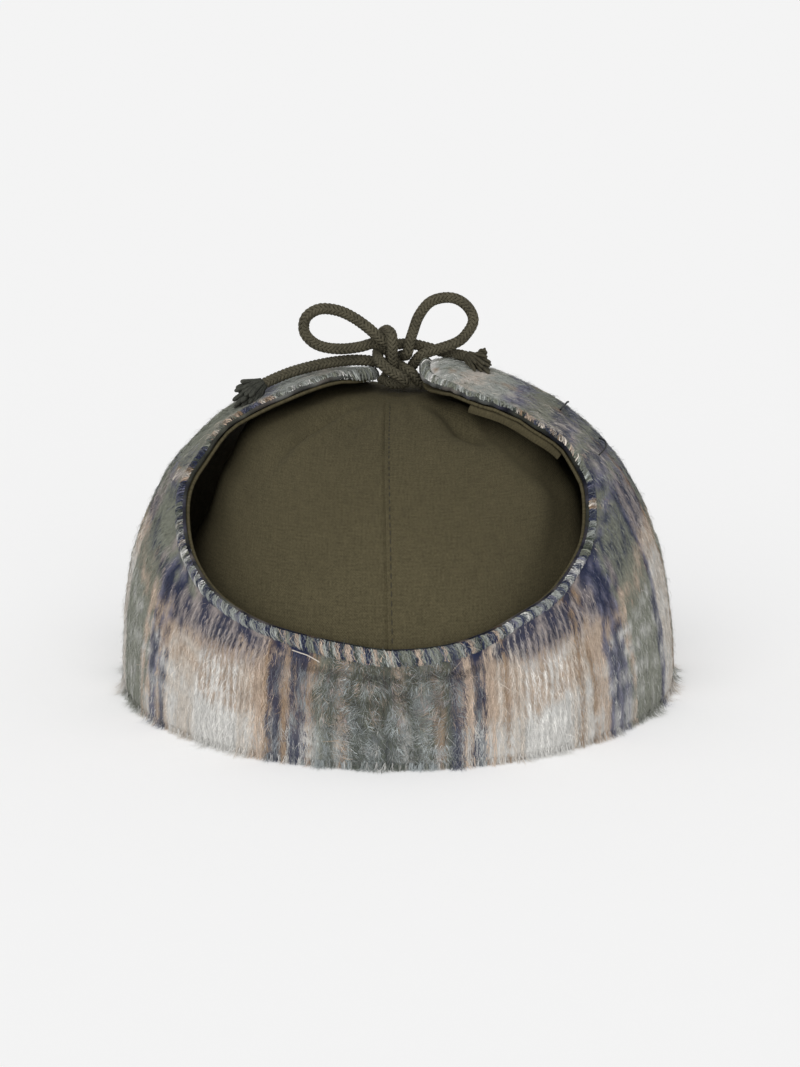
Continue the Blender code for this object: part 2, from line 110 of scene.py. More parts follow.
# The flap's fold. Each row is a share of the gap, and how far out and up it lies in millimetres
SHELL_FOOT = ((1, 0.7, 4.6), (1, -0.3, 3.5), (0, 0.3, 3.4), (0, 0.3, 4.4), (1, -0.9, 4.5), (1, -0.2, 5.2))
MOHAIR_FOOT = (
    (1, 4.8, 3.2), (1, 4.3, 1.2), (1, 3.4, 0.1), (0, -0.5, 0.1), (0, -1.6, 0.8), (0, -1.6, 3.1),
    (1, -0.5, 3.1), (1, 1.0, 4.2),
)

# The cords, as in the solids. Their places are across, toward the front and up from the knot, in millimetres
KNOT = Vector((-2.9, 0.0, 112.3)) * MM
LEFT_ROUTE = (
    (-4.1, 1.5, -8.5), (-2.6, 1.3, -9.6), (-0.5, -0.2, -10.3), (2.0, -1.4, -10.4), (4.1, -2.8, -9.9),
    (4.6, -4.7, -8.8), (3.3, -5.9, -7.4), (1.0, -5.9, -6.1), (-1.0, -5.7, -4.9), (-3.1, -4.7, -3.3),
    (-4.4, -1.8, -2.2), (-4.9, 1.9, -1.6), (-4.9, 5.3, 0.6), (-4.4, 5.8, 3.7), (-3.5, 4.4, 5.9),
    (-2.0, 1.4, 7.4), (-0.6, -1.8, 7.2), (0.1, -4.0, 5.7), (0.3, -4.6, 2.8), (0.3, -4.2, -0.1),
    (0.4, -2.6, -2.9), (-0.2, -0.5, -5.6), (0.6, 2.1, -7.4), (2.8, 4.3, -8.0), (5.2, 4.6, -7.0),
    (6.8, 3.4, -5.0), (7.9, 1.7, -3.1), (9.5, 0.0, -1.1), (12.5, -0.6, 0.4), (21.7, -0.6, 3.6),
    (25.6, 0.0, 7.1), (27.4, 0.5, 11.2), (25.6, 0.8, 15.4), (21.7, 0.8, 18.2), (17.1, 0.8, 18.6),
    (12.5, 0.6, 16.9), (9.0, 0.3, 12.4), (7.1, -0.2, 7.2), (5.9, -1.1, 3.5), (5.4, -1.0, 0.5),
    (4.5, 1.3, -1.1), (3.5, 5.2, -1.7), (1.4, 7.6, -3.0), (-1.4, 7.8, -4.5), (-4.4, 6.8, -4.6),
    (-7.6, 5.2, -3.7), (-13.0, 3.6, -3.2), (-20.0, 3.0, -3.8), (-27.0, 1.5, -5.0), (-34.0, -0.5, -6.7),
    (-40.0, -3.0, -8.8), (-45.0, -6.0, -10.9),
)
RIGHT_ROUTE = (
    (12.5, 0.5, -11.1), (9.9, -0.5, -10.4), (8.1, -1.7, -8.4), (6.4, -2.0, -6.4), (3.9, -0.4, -5.2),
    (2.3, 1.7, -4.3), (0.6, 2.7, -2.7), (-0.9, 2.3, -0.6), (-2.4, 1.9, 1.4), (-4.5, 1.7, 2.6),
    (-7.1, 1.4, 2.8), (-10.4, 0.8, 1.9), (-16.3, 0.0, 1.2), (-22.2, 0.0, 1.6), (-26.6, 0.0, 3.3),
    (-29.6, 0.0, 7.0), (-29.0, 0.0, 11.8), (-24.5, 0.0, 14.7), (-18.3, -0.4, 14.3), (-13.0, -0.8, 12.0),
    (-8.1, -1.6, 8.7), (-5.5, -2.4, 6.5), (-3.5, -2.2, 4.7), (-1.2, -1.2, 3.5), (0.6, 0.1, 2.9),
    (2.8, 2.2, 2.6), (5.6, 3.4, 2.6), (8.6, 3.9, 2.0), (12.5, 4.4, 0.9), (19.0, 4.2, -0.8),
    (24.0, 1.6, -1.2), (27.0, -1.0, -1.9),
)

# Colours, linear
OLIVE = (0.079, 0.0675, 0.0375)
CORD_OLIVE = (0.064, 0.057, 0.037)
TAPE_OLIVE = (0.072, 0.061, 0.034)
# The topstitch thread's own darker olive, darkened further as painted shade of its stitch holes
STITCH_OLIVE_HOLE_SHADE = (0.030, 0.026, 0.016)
THREAD_BLACK = (0.008, 0.008, 0.009)
WHITE = (0.76, 0.75, 0.72)
CREAM = (0.66, 0.60, 0.53)
PEACH = (0.58, 0.46, 0.36)
TAN = (0.36, 0.25, 0.16)
SAGE = (0.24, 0.25, 0.20)
GREEN = (0.085, 0.10, 0.078)
LILAC = (0.17, 0.17, 0.24)
NAVY = (0.030, 0.037, 0.080)
PALE = (0.42, 0.44, 0.41)
COMB_LIGHT = (0.40, 0.35, 0.33)  # the pale yarns where the navy band crosses them
HAZE = (0.36, 0.39, 0.39)  # pale brushed fibre that veils the plaid

# The plaid's upright stripes, by the distance along the rim from the back centre where each one begins, in
# millimetres, and its level bands, by the height above the rim where each one begins
STRIPES_RIGHT = (
    (0, GREEN), (9, SAGE), (10.5, GREEN), (13.2, TAN), (14.8, GREEN), (17.3, NAVY), (21.3, PEACH),
    (24, NAVY), (28, PEACH), (31, CREAM), (34, TAN), (35.5, CREAM), (40, WHITE), (57, CREAM), (61, TAN),
    (63, CREAM), (66.5, TAN), (68, PEACH), (75, LILAC), (77, NAVY), (80, LILAC), (81.5, NAVY),
    (84.5, LILAC), (86, SAGE), (88, PEACH), (90, SAGE), (112, NAVY), (115, LILAC), (117, CREAM),
    (137, TAN), (141, SAGE),
)
STRIPES_LEFT = (
    (0, GREEN), (13, TAN), (14.5, GREEN), (19, SAGE), (20.5, GREEN), (22.5, TAN), (24.5, NAVY),
    (30, TAN), (32, NAVY), (36.5, TAN), (38, PEACH), (42, CREAM), (47, WHITE), (66, CREAM), (80, PEACH),
    (81.5, NAVY), (84, LILAC), (85.5, PEACH), (87, LILAC), (88.5, NAVY), (91.5, LILAC), (93, PEACH),
    (95, SAGE), (97, PEACH), (99, SAGE), (124, CREAM), (138, SAGE),
)
BANDS_RIGHT = (
    (-60, WHITE), (8, PEACH), (22.5, NAVY), (33, LILAC), (36, SAGE), (40, LILAC), (43, NAVY),
    (49, SAGE), (55, LILAC), (58, NAVY), (65, SAGE), (76, LILAC), (82, PALE), (92, CREAM), (97, PALE),
    (104, WHITE), (112, PALE),
)
BANDS_LEFT = (
    (-60, WHITE), (8, PEACH), (23.2, NAVY), (31, SAGE), (34, LILAC), (37, SAGE), (72, LILAC),
    (78, PALE), (92, CREAM), (97, PALE), (104, WHITE), (112, PALE),
)

# The level bands rise toward the ears: by this much, and between these distances from the back centre
BAND_RISE = 31
RISE_RIGHT = (35, 140)
RISE_LEFT = (48, 145)

# The rolled edge's yarns, light and dark by turns. Each row is the height above the rim where it begins, then
# the light yarns' colours and the dark ones'
EDGE_RIGHT = (
    (0, (SAGE, PEACH, PALE), (NAVY, NAVY, GREEN)),
    (29, (PALE, WHITE, PALE), (NAVY, LILAC, NAVY)),
    (45, (SAGE, PALE, SAGE), (GREEN, NAVY, GREEN)),
    (55, (NAVY, NAVY, LILAC), (NAVY, NAVY, NAVY)),
    (59, (CREAM, CREAM, CREAM), (TAN, PEACH, TAN)),
    (62, (NAVY, NAVY, NAVY), (NAVY, NAVY, LILAC)),
    (68, (SAGE, SAGE, PALE), (SAGE, GREEN, SAGE)),
    (78, (PEACH, CREAM, PEACH), (SAGE, TAN, SAGE)),
    (88, (PEACH, CREAM, TAN), (NAVY, GREEN, NAVY)),
    (104, (PALE, WHITE, SAGE), (SAGE, PALE, SAGE)),
)
EDGE_LEFT = (
    (0, (SAGE, PEACH, PALE), (NAVY, NAVY, GREEN)),
    (28, (PALE, WHITE, PALE), (NAVY, LILAC, NAVY)),
    (42, (PALE, WHITE, CREAM), (NAVY, NAVY, SAGE)),
    (52, (SAGE, PALE, SAGE), (NAVY, GREEN, NAVY)),
    (57, (NAVY, NAVY, NAVY), (NAVY, NAVY, LILAC)),
    (63, (CREAM, CREAM, PEACH), (TAN, PEACH, TAN)),
    (68, (NAVY, NAVY, LILAC), (NAVY, NAVY, GREEN)),
    (77, (SAGE, SAGE, SAGE), (GREEN, SAGE, SAGE)),
    (80, (PEACH, CREAM, PEACH), (SAGE, TAN, SAGE)),
    (95, (NAVY, NAVY, NAVY), (NAVY, NAVY, LILAC)),
    (102, (PEACH, CREAM, PEACH), (PEACH, TAN, PEACH)),
    (107, (PALE, WHITE, PALE), (SAGE, PALE, SAGE)),
)

# How strongly each colour covers the yarns that cross it, in the upright stripes and in the level bands
UPRIGHT_HOLD = {
    WHITE: 0.5, LILAC: 0.9, CREAM: 0.5, PEACH: 0.62, TAN: 0.72, SAGE: 0.8, GREEN: 0.98, NAVY: 0.98,
}
LEVEL_HOLD = {
    WHITE: 0.3, CREAM: 0.75, PEACH: 0.44, SAGE: 0.8, NAVY: 0.72, LILAC: 0.85, PALE: 0.85,
}


def smoothstep(low, high, value):
    share = np.clip((value - low) / (high - low), 0, 1)
    return share * share * (3 - 2 * share)


def fade(low, high, value):
    return 1 - smoothstep(low, high, value)


def blend(first, second, share):
    return first + (second - first) * share


def unit(vectors):
    return vectors / np.maximum(np.linalg.norm(vectors, axis=-1, keepdims=True), 1e-12)


def bell(distance, width):
    """1 at no distance, falling to nothing by about twice this width."""
    return np.exp(-((distance / width) ** 2))


def read_table(rows, column, goal):
    """Values between the rows of a table whose first column rises."""
    value = np.full(np.shape(goal), rows[-1][column], float)
    for low, high in reversed(list(zip(rows, rows[1:]))):
        between = blend(low[column], high[column], smoothstep(low[0], high[0], goal))
        value = np.where(goal <= high[0], between, value)
    return value


def lengths_along(path):
    """How far along a path each of its points lies."""
    return np.concatenate([[0], np.cumsum(np.linalg.norm(np.diff(path, axis=0), axis=1))])


def points_at(path, lengths, goals):
    """The path's points at these lengths along it."""
    return np.stack([np.interp(goals, lengths, path[:, k]) for k in range(path.shape[1])], -1)


def bearing_and_fall(places):
    return np.arctan2(places[..., 0], -places[..., 1]), np.hypot(places[..., 0], places[..., 1])


def place_at(bearing, fall):
    return fall * np.stack([np.sin(bearing), -np.cos(bearing)], -1)


def dome_reach(fall):
    """How far out the dome reaches this far down, as a share of its full reach."""
    return np.sin(np.radians(fall)) ** (2 / SQUARENESS)


def dome(places, offset=0.0):
    """Points over places on the dome, this far outside the crown's outer face, and their normals."""
    bearing, fall = bearing_and_fall(np.asarray(places, float))
    reach = dome_reach(fall)
    rise = np.cos(np.radians(fall)) ** (2 / SQUARENESS)
    x = HALF_WIDTH * reach * np.sin(bearing)
    y = -HALF_LENGTH * reach * np.cos(bearing)
    z = HEIGHT * rise
    span = np.maximum(np.hypot(x / HALF_WIDTH, y / HALF_LENGTH), 1e-6) ** (SQUARENESS - 2)
    up = z ** (SQUARENESS - 1) / HEIGHT**SQUARENESS
    normal = unit(np.stack([span * x / HALF_WIDTH**2, span * y / HALF_LENGTH**2, up], -1))
    return np.stack([x, y, z], -1) + np.asarray(offset)[..., None] * normal, normal


def at_rim(bearing, out, up):
    """Points at this height and this far outside the crown's upright lower wall."""
    x = HALF_WIDTH * np.sin(bearing)
    y = -HALF_LENGTH * np.cos(bearing)
    outward = unit(np.stack([x / HALF_WIDTH**2, y / HALF_LENGTH**2, np.zeros_like(x)], -1))
    return np.stack([x, y, np.full_like(x, up)], -1) + np.asarray(out)[..., None] * outward


def on_flap(places):
    return dome(places, LAP)[0]


def smooth_path(points, closed=False, parts=8):
    """Points along a smooth curve through the given ones."""
    points = np.asarray(points, float)
    count = len(points)
    path = []
    for i in range(count if closed else count - 1):
        if closed:
            a, b, c, d = (points[(i + k) % count] for k in (-1, 0, 1, 2))
        else:
            a, b, c, d = points[max(i - 1, 0)], points[i], points[i + 1], points[min(i + 2, count - 1)]
        for t in (k / parts for k in range(parts)):
            bend = (2 * a - 5 * b + 4 * c - d) * t**2 + (3 * b - a - 3 * c + d) * t**3
            path.append(0.5 * (2 * b + (c - a) * t + bend))
    return np.array(path if closed else path + [points[-1]])


def resample(path, spacing, points=None, closed=False):
    """The path at even steps, measured along points, or along itself."""
    if closed:
        path = np.concatenate([path, path[:1]])
        points = None if points is None else np.concatenate([points, points[:1]])
    lengths = lengths_along(path if points is None else points)
    count = max(round(lengths[-1] / spacing), 2)
    goals = np.linspace(0, lengths[-1], count + 1)
    return points_at(path, lengths, goals[:-1] if closed else goals)


EDGE_PATH = smooth_path(FREE_EDGE, closed=True)
EDGE_POINTS = on_flap(EDGE_PATH)
EDGE_LENGTHS = lengths_along(EDGE_POINTS)
BATCH = 4096


def nearest_on_edge(places):
    """How far places on the flap are from its free edge, and the nearest points of the edge."""
    here = on_flap(places)
    distance = np.empty(len(here))
    nearest = np.empty(len(here), int)
    for k in range(0, len(here), BATCH):
        apart = np.linalg.norm(here[k : k + BATCH, None] - EDGE_POINTS[None], axis=2)
        nearest[k : k + BATCH] = apart.argmin(1)
        distance[k : k + BATCH] = apart.min(1)
    return distance, nearest


def edge_distance(places):
    return nearest_on_edge(places)[0]


def stand_off(places, from_edge):
    """The gap between the crown and the flap."""
    bearing, fall = bearing_and_fall(places)
    right = places[..., 0] > 0
    ear = np.where(right, read_table(STAND_OFF, 3, fall), read_table(STAND_OFF, 2, fall))
    gap = blend(read_table(STAND_OFF, 1, fall), ear, np.sin(bearing) ** 2)
    curl = np.where(right, CURL_RIGHT, CURL_LEFT) * np.maximum(1 - from_edge / CURL_WIDTH, 0) ** 2
    along = smoothstep(2, 10, np.abs(places[..., 0])) * fade(34, 46, fall)
    return gap + curl * along * fade(-2, 7, places[..., 1])


def crown_inset(places):
    """How far the crown's cloth lies inside the plain dome."""
    bearing, fall = bearing_and_fall(places)
    inset = read_table(CROWN_SAG, 1, fall) * np.sin(bearing) ** 2
    for x, y, reach, depth in CROWN_RELIEF:
        inset = inset + depth * fade(0, reach, np.hypot(places[..., 0] - x, places[..., 1] - y))
    return inset


NOISE_CELLS = 256


def value_noise(x, y, seed):
    """Smooth noise between 0 and 1 with a grain of one unit."""
    table = np.random.default_rng(SEED + seed).random((NOISE_CELLS, NOISE_CELLS))
    i = np.floor(x).astype(int)
    j = np.floor(y).astype(int)
    s = smoothstep(0, 1, x - i)
    t = smoothstep(0, 1, y - j)

    def corner(a, b):
        return table[(i + a) % NOISE_CELLS, (j + b) % NOISE_CELLS]

    return blend(blend(corner(0, 0), corner(1, 0), s), blend(corner(0, 1), corner(1, 1), s), t)


def noise_over(places, across, up, seed, start=60):
    """Noise over the flat cloth or the dome, with a grain of this size. start is where its table is read."""
    return value_noise(places[..., 0] / across + start, places[..., 1] / up + start, seed)


# Materials


class Nodes:
    """A material's nodes, made and joined in short lines."""

    def __init__(self, name):
        self.material = bpy.data.materials.new(name)
        self.material.use_nodes = True
        self.tree = self.material.node_tree
        self.shader = self.tree.nodes["Principled BSDF"]

    def put(self, socket, value):
        if isinstance(value, bpy.types.NodeSocket):
            self.tree.links.new(value, socket)
        else:
            socket.default_value = (*value, 1.0) if socket.type == "RGBA" else value

    def make(self, kind, settings=None, **inputs):
        node = self.tree.nodes.new("ShaderNode" + kind)
        for key, value in (settings or {}).items():
            setattr(node, key, value)
        for key, value in inputs.items():
            self.put(node.inputs[key], value)
        return node

    def math(self, operation, *values):
        node = self.make("Math", {"operation": operation})
        for socket, value in zip(node.inputs, values):
            self.put(socket, value)
        return node.outputs[0]

    def total(self, *parts):
        """The sum of values, each times its own weight."""
        weighted = [self.math("MULTIPLY", value, weight) for value, weight in parts]
        found = weighted[0]
        for value in weighted[1:]:
            found = self.math("ADD", found, value)
        return found

    def centred(self, value):
        return self.math("SUBTRACT", value, 0.5)

    def mix(self, factor, first, second, mode="MIX"):
        node = self.make("Mix", {"data_type": "RGBA", "blend_type": mode})
        for k, value in ((0, factor), (6, first), (7, second)):
            self.put(node.inputs[k], value)
        return node.outputs[2]

    def spread(self, value, low, high, bottom=0.0, top=1.0):
        node = self.make("MapRange", {"clamp": True})
        for socket, number in zip(node.inputs, (value, low, high, bottom, top)):
            self.put(socket, number)
        return node.outputs[0]

    def uv(self, name, scale=(1.0, 1.0, 1.0)):
        layer = self.make("UVMap", {"uv_map": name})
        return self.make("Mapping", Vector=layer.outputs[0], Scale=scale).outputs[0]

    def noise(self, vector, scale=1.0, detail=2.0, roughness=0.5):
        node = self.make("TexNoise", Vector=vector, Scale=scale, Detail=detail, Roughness=roughness)
        return node.outputs[0]

    def bump(self, height, distance, strength):
        node = self.make("Bump", Height=height, Distance=distance, Strength=strength)
        self.put(self.shader.inputs["Normal"], node.outputs[0])

    def paint(self, colour):
        self.put(self.shader.inputs["Base Color"], colour)

    def paint_shades(self, share, colour, dark, light):
        """Paints the material between a dark and a light shade of one colour."""
        self.paint(self.mix(share, times(colour, dark), times(colour, light)))

    def paint_dye(self, shade):
        """Paints the material in the dye that its mesh carries, times this shade."""
        dye = self.make("VertexColor", {"layer_name": "Dye"}).outputs[0]
        grey = self.make("CombineColor", Red=shade, Green=shade, Blue=shade).outputs[0]
        self.paint(self.mix(1.0, dye, grey, "MULTIPLY"))

    def finish(self, roughness, specular, sheen=0.0):
        for name, value in (
            ("Roughness", roughness),
            ("Specular IOR Level", specular),
            ("Sheen Weight", sheen),
            ("Sheen Roughness", 0.5),
            ("Sheen Tint", (1.0, 1.0, 1.0, 1.0)),
        ):
            self.shader.inputs[name].default_value = value
        return self.material


def times(colour, factor):
    return tuple(channel * factor for channel in colour)


def cotton(name, colour, yarn=0.42, coarse=1.0):
    """Plain-woven cotton. Its UV map is in millimetres along the weft and the warp, and so is its yarn."""
    n = Nodes(name)
    place = n.uv("Weave")
    parts = n.make("SeparateXYZ", Vector=place).outputs
    across, along = (n.math("SINE", n.math("MULTIPLY", parts[k], math.pi / yarn)) for k in (0, 1))
    check = n.math("MULTIPLY", across, along)
    weft = n.noise(n.uv("Weave", (0.16, 1.3, 1.0)))
    warp = n.noise(n.uv("Weave", (1.3, 0.16, 1.0)))
    slub = n.total((weft, 0.5), (warp, 0.5))
    grain = n.noise(place, 1.5, 4.0, 0.7)
    soft = n.noise(place, 0.03)
    tone = n.total((n.centred(slub), 1.3 * coarse), (n.centred(grain), 2.2 * coarse),
                   (n.centred(soft), 0.35), (check, 0.12 * coarse))
    n.paint_shades(n.spread(tone, -0.5, 0.5), colour, 0.62, 1.38)
    n.bump(n.total((check, 0.5), (slub, 1.6)), 0.12 * MM, 0.8)
    return n.finish(0.92, 0.1)


def mohair():
    """Brushed mohair's woven ground."""
    n = Nodes("mohair_ground")
    felt = n.noise(n.uv("Cloth"), 0.8, 4.0, 0.6)
    n.paint_dye(n.spread(felt, 0.25, 0.75, 0.72, 1.22))
    n.bump(felt, 0.6 * MM, 0.7)
    return n.finish(0.9, 0.1, sheen=0.05)


def hair(name):
    """Mohair fibres. Each one has its own dye and is a little paler toward its tip."""
    n = Nodes(name)
    along = n.make("SeparateXYZ", Vector=n.uv("Strand")).outputs[1]
    n.paint_dye(n.spread(along, 0.0, 1.0, 0.82, 1.12))
    return n.finish(0.7, 0.15, sheen=0.04)


def braid(name, colour):
    """A braided strand: fine yarn along its length."""
    n = Nodes(name)
    fibre = n.noise(n.uv("Strand", (9.0, 0.8, 1.0)), 1.0, 3.0, 0.6)
    worn = n.noise(n.uv("Strand", (0.1, 0.1, 1.0)))
    tone = n.total((fibre, 0.75), (worn, 0.25))
    n.paint_shades(n.spread(tone, 0.3, 0.7), colour, 0.35, 2.2)
    n.bump(fibre, 0.15 * MM, 0.9)
    return n.finish(0.8, 0.25)


def thread(name, colour):
    n = Nodes(name)
    twist = n.noise(n.uv("Strand", (3.0, 2.0, 1.0)))
    n.paint_shades(n.spread(twist, 0.3, 0.7), colour, 0.7, 1.5)
    n.bump(twist, 0.05 * MM, 0.6)
    return n.finish(0.6, 0.3)


def paper(name, colour):
    """The lit table's paper, which gives off a little light of its own."""
    n = Nodes(name)
    tooth = n.noise(n.make("TexCoord").outputs["Object"], 60.0)
    n.paint_shades(tooth, colour, 0.995, 1.005)
    n.put(n.shader.inputs["Emission Color"], (1.0, 1.0, 1.0))
    n.put(n.shader.inputs["Emission Strength"], FLOOR_GLOW)
    return n.finish(0.95, 0.0)


# Meshes


def mesh_piece(name, points, faces, material, sharp=None):
    """A named piece of the cap."""
    mesh = bpy.data.meshes.new(name)
    mesh.from_pydata(points, [], faces)
    mesh.shade_smooth()
    if sharp:
        mesh.set_sharp_from_angle(angle=math.radians(sharp))
    mesh.materials.append(material)
    obj = bpy.data.objects.new(name, mesh)
    bpy.context.scene.collection.objects.link(obj)
    return obj


def fix_normals(obj):
    """Turns a closed piece's faces outward."""
    work = bmesh.new()
    work.from_mesh(obj.data)
    bmesh.ops.recalc_face_normals(work, faces=work.faces)
    work.to_mesh(obj.data)
    work.free()
    return obj


def set_uv(mesh, name, per_point):
    """A UV map from one pair of numbers for each vertex."""
    layer = mesh.uv_layers.new(name=name)
    corners = np.empty(len(mesh.loops), np.int32)
    mesh.loops.foreach_get("vertex_index", corners)
    layer.data.foreach_set("uv", np.asarray(per_point, np.float32)[corners].ravel())


def set_dye(mesh, colours):
    """A colour for each vertex."""
    layer = mesh.color_attributes.new("Dye", "FLOAT_COLOR", "POINT")
    rows = np.concatenate([colours, np.ones((len(colours), 1))], 1)
    layer.data.foreach_set("color", rows.astype(np.float32).ravel())


def ring_faces(rows, width, closed_rows=False, closed_ring=True):
    """Quads between rows of points that follow one another."""
    faces = []
    for k in range(rows if closed_rows else rows - 1):
        for i in range(width if closed_ring else width - 1):
            j = (i + 1) % width
            a = k * width
            b = ((k + 1) % rows) * width
            faces.append((a + i, a + j, b + j, b + i))
    return faces


def frames_along(path):
    """Tangents and two crosswise directions that turn smoothly along a path."""
    tangent = unit(np.gradient(path, axis=0))
    first = np.cross(tangent[0], [0.0, 0.0, 1.0])
    if np.linalg.norm(first) < 0.1:
        first = np.cross(tangent[0], [0.0, 1.0, 0.0])
    side = [first / np.linalg.norm(first)]
    for k in range(1, len(path)):
        turned = side[-1] - tangent[k] * (side[-1] @ tangent[k])
        side.append(turned / np.linalg.norm(turned))
    side = np.array(side)
    return tangent, side, np.cross(tangent, side)


def winding(side, other, angle):
    """Directions across a path, turned by this angle at each of its points."""
    return side * np.cos(angle)[:, None] + other * np.sin(angle)[:, None]


class Strands:
    """Many short tubes gathered into one mesh."""

    def __init__(self):
        self.points = []
        self.faces = []
        self.strand = []
        self.dyes = []
        self.count = 0

    def add(self, path, radius, sides, dye=None, flat=1.0, lay=None):
        """A closed tube along a path. radius is one number, or one for each point.

        flat is its thickness as a share of its width, and lay the way out from what it lies on."""
        rows = len(path)
        radius = np.broadcast_to(np.asarray(radius, float), rows)
        tangent, side, other = frames_along(path)
        if lay is not None:
            other = unit(np.cross(np.cross(tangent, lay), tangent))
            side = np.cross(other, tangent)
        angles = (math.tau * np.arange(sides) / sides)[None, :, None]
        around = side[:, None] * np.cos(angles) + flat * other[:, None] * np.sin(angles)
        self.points.append((path[:, None] + radius[:, None, None] * around).reshape(-1, 3))
        grid = np.meshgrid(np.arange(sides) / sides, lengths_along(path) / MM)
        self.strand.append(np.stack(grid, -1).reshape(-1, 2))
        if dye is not None:
            self.dyes.append(np.broadcast_to(np.asarray(dye, float), (rows * sides, 3)))
        ends = [range(sides - 1, -1, -1), range((rows - 1) * sides, rows * sides)]
        self.faces += [tuple(self.count + k for k in face) for face in ring_faces(rows, sides) + ends]
        self.count += rows * sides

    def piece(self, name, material):
        obj = mesh_piece(name, np.concatenate(self.points), self.faces, material)
        set_uv(obj.data, "Strand", np.concatenate(self.strand))
        if self.dyes:
            set_dye(obj.data, np.concatenate(self.dyes))
        return obj


def show(obj, *nodes):
    """Puts a finished piece in its place on the cap, for these solids."""
    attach(obj, "root")
    if nodes:
        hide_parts(*nodes)
    return obj


# The cloth's own coordinates and its plaid

RIM_STEPS = 720
YARN_PITCH = 2.2  # millimetres between neighbouring upright yarns
FRONT_CENTRE = 150  # the distance along the rim beyond which the stripes run back, as a mirror
EARS = (55, 82)  # the ears' cloth begins between these distances
COMB_FOOT = (17, 22)  # the level navy band that pale yarns cross like a comb's teeth, by its height
COMB_TOP = (34, 42)
FIBRE_BLUR = 4.0  # how much further single fibres stray from their stripe than the ground's yarns


def rim_arc():
    """Bearings from the back to the front, and how far along the rim each one lies, in millimetres."""
    bearing = np.linspace(0, math.pi, RIM_STEPS + 1)
    points = np.stack([HALF_WIDTH * np.sin(bearing), -HALF_LENGTH * np.cos(bearing)], -1)
    return bearing, lengths_along(points) / MM


RIM_BEARINGS, RIM_LENGTHS = rim_arc()


def cloth_place(places):
    """Where places on the flap lie in its flat cloth, in millimetres.

    The first number runs along the rim from the back centre, and the second up from the rim. The ears'
    cloth runs straight up over the dome, and the neck's runs up its wall."""
    bearing, fall = bearing_and_fall(places)
    off_axis = np.degrees(np.minimum(np.abs(bearing), math.pi - np.abs(bearing)))
    ear = np.maximum(smoothstep(25, 60, off_axis), fade(45, 62, fall))
    turned = np.arccos(np.clip(dome_reach(fall) ** ear * np.cos(bearing), -1, 1))
    along = np.interp(turned, RIM_BEARINGS, RIM_LENGTHS) * np.where(places[..., 0] < 0, -1, 1)
    return np.stack([along, (90 - fall) * DEGREE / MM], -1)


def stripe_dye(rows, hold, goal):
    """The colours of stripes at these places, and how strongly each one covers what crosses it."""
    starts = np.array([row[0] for row in rows])
    row = np.clip(np.searchsorted(starts, goal, side="right") - 1, 0, len(rows) - 1)
    return np.array([row[1] for row in rows])[row], np.array([hold[row[1]] for row in rows])[row]


def side_dye(right, rows_right, rows_left, hold, goal):
    """What stripe_dye gives, from the stripes of each side of the cap."""
    colours, strengths = zip(stripe_dye(rows_right, hold, goal), stripe_dye(rows_left, hold, goal))
    return np.where(right[..., None], *colours), np.where(right, *strengths)


def yarn_pick(cloth, stray):
    """From 0 on an upright yarn to 1 beside it, where the level yarns show."""
    along = cloth[..., 0] + 0.9 * (noise_over(cloth, 6, 11, 8, 40) - 0.5)
    comb = 0.5 + 0.5 * np.sin(math.tau * along / YARN_PITCH)
    patch = noise_over(cloth, 1.4, 5, 9, 40) - 0.5
    return np.clip(comb + 0.7 * patch + stray, 0, 1)


def plaid(cloth, pick, ragged, blur=0.0):
    """The dye of yarn at these places of the flat cloth.

    pick, from 0 to 1, chooses between the upright and the level yarns, ragged shifts where one colour
    gives way to the next, and blur spreads that shift over the ears."""
    along = cloth[..., 0] + ragged * (0.6 + blur * 0.5 * smoothstep(40, 95, cloth[..., 1]))
    far = smoothstep(*EARS, np.abs(cloth[..., 0]))
    along = along + 3.0 * far * (noise_over(cloth, 4, 6, 14) - 0.5)
    right = along > 0
    distance = np.abs(along)
    rise = np.where(right, smoothstep(*RISE_RIGHT, distance), smoothstep(*RISE_LEFT, distance))
    up = cloth[..., 1] - BAND_RISE * rise
    up = up + 2.0 * ragged * (1 + blur * smoothstep(28, 36, up))
    up = up + 5.0 * far * smoothstep(11, 19, up) * fade(27, 33, up)
    folded = np.where(distance > FRONT_CENTRE, 2 * FRONT_CENTRE - distance, distance)
    upright, cover = side_dye(right, STRIPES_RIGHT, STRIPES_LEFT, UPRIGHT_HOLD, folded)
    level, hold = side_dye(right, BANDS_RIGHT, BANDS_LEFT, LEVEL_HOLD, up)
    comb = smoothstep(*COMB_FOOT, up) * fade(*COMB_TOP, up) * smoothstep(34, 44, distance)
    upright = blend(upright, np.minimum(upright, COMB_LIGHT), comb[..., None])
    worn = smoothstep(0.5, 0.8, noise_over(cloth, 3, 6, 12))
    dark = (upright[..., 2] > 1.5 * upright[..., 0]) * fade(20, 24, up)
    weight = 0.5 + 0.8 * (cover - hold) - 0.5 * smoothstep(29, 40, up)
    weight = weight + 0.25 * comb * (far + 0.4 - 0.4 * far)
    weight = weight - dark * (0.45 + 0.45 * far) * worn
    chosen = smoothstep(-0.15, 0.15, np.clip(weight, 0.06, 0.95) - pick)[..., None]
    return blend(blend(level, upright, chosen), blend(upright, level, chosen), 0.08)


def fibre_plaid(cloth, rng):
    """The plaid's dye for single fibres."""
    pick = yarn_pick(cloth, rng.normal(0, 0.10, len(cloth)))
    return plaid(cloth, pick, rng.normal(0, 0.3, len(cloth)), FIBRE_BLUR)


def yarn_number(where):
    """Which yarn of the rolled edge lies this far along it, in millimetres."""
    return np.floor(2 * where / YARN_PITCH).astype(int)


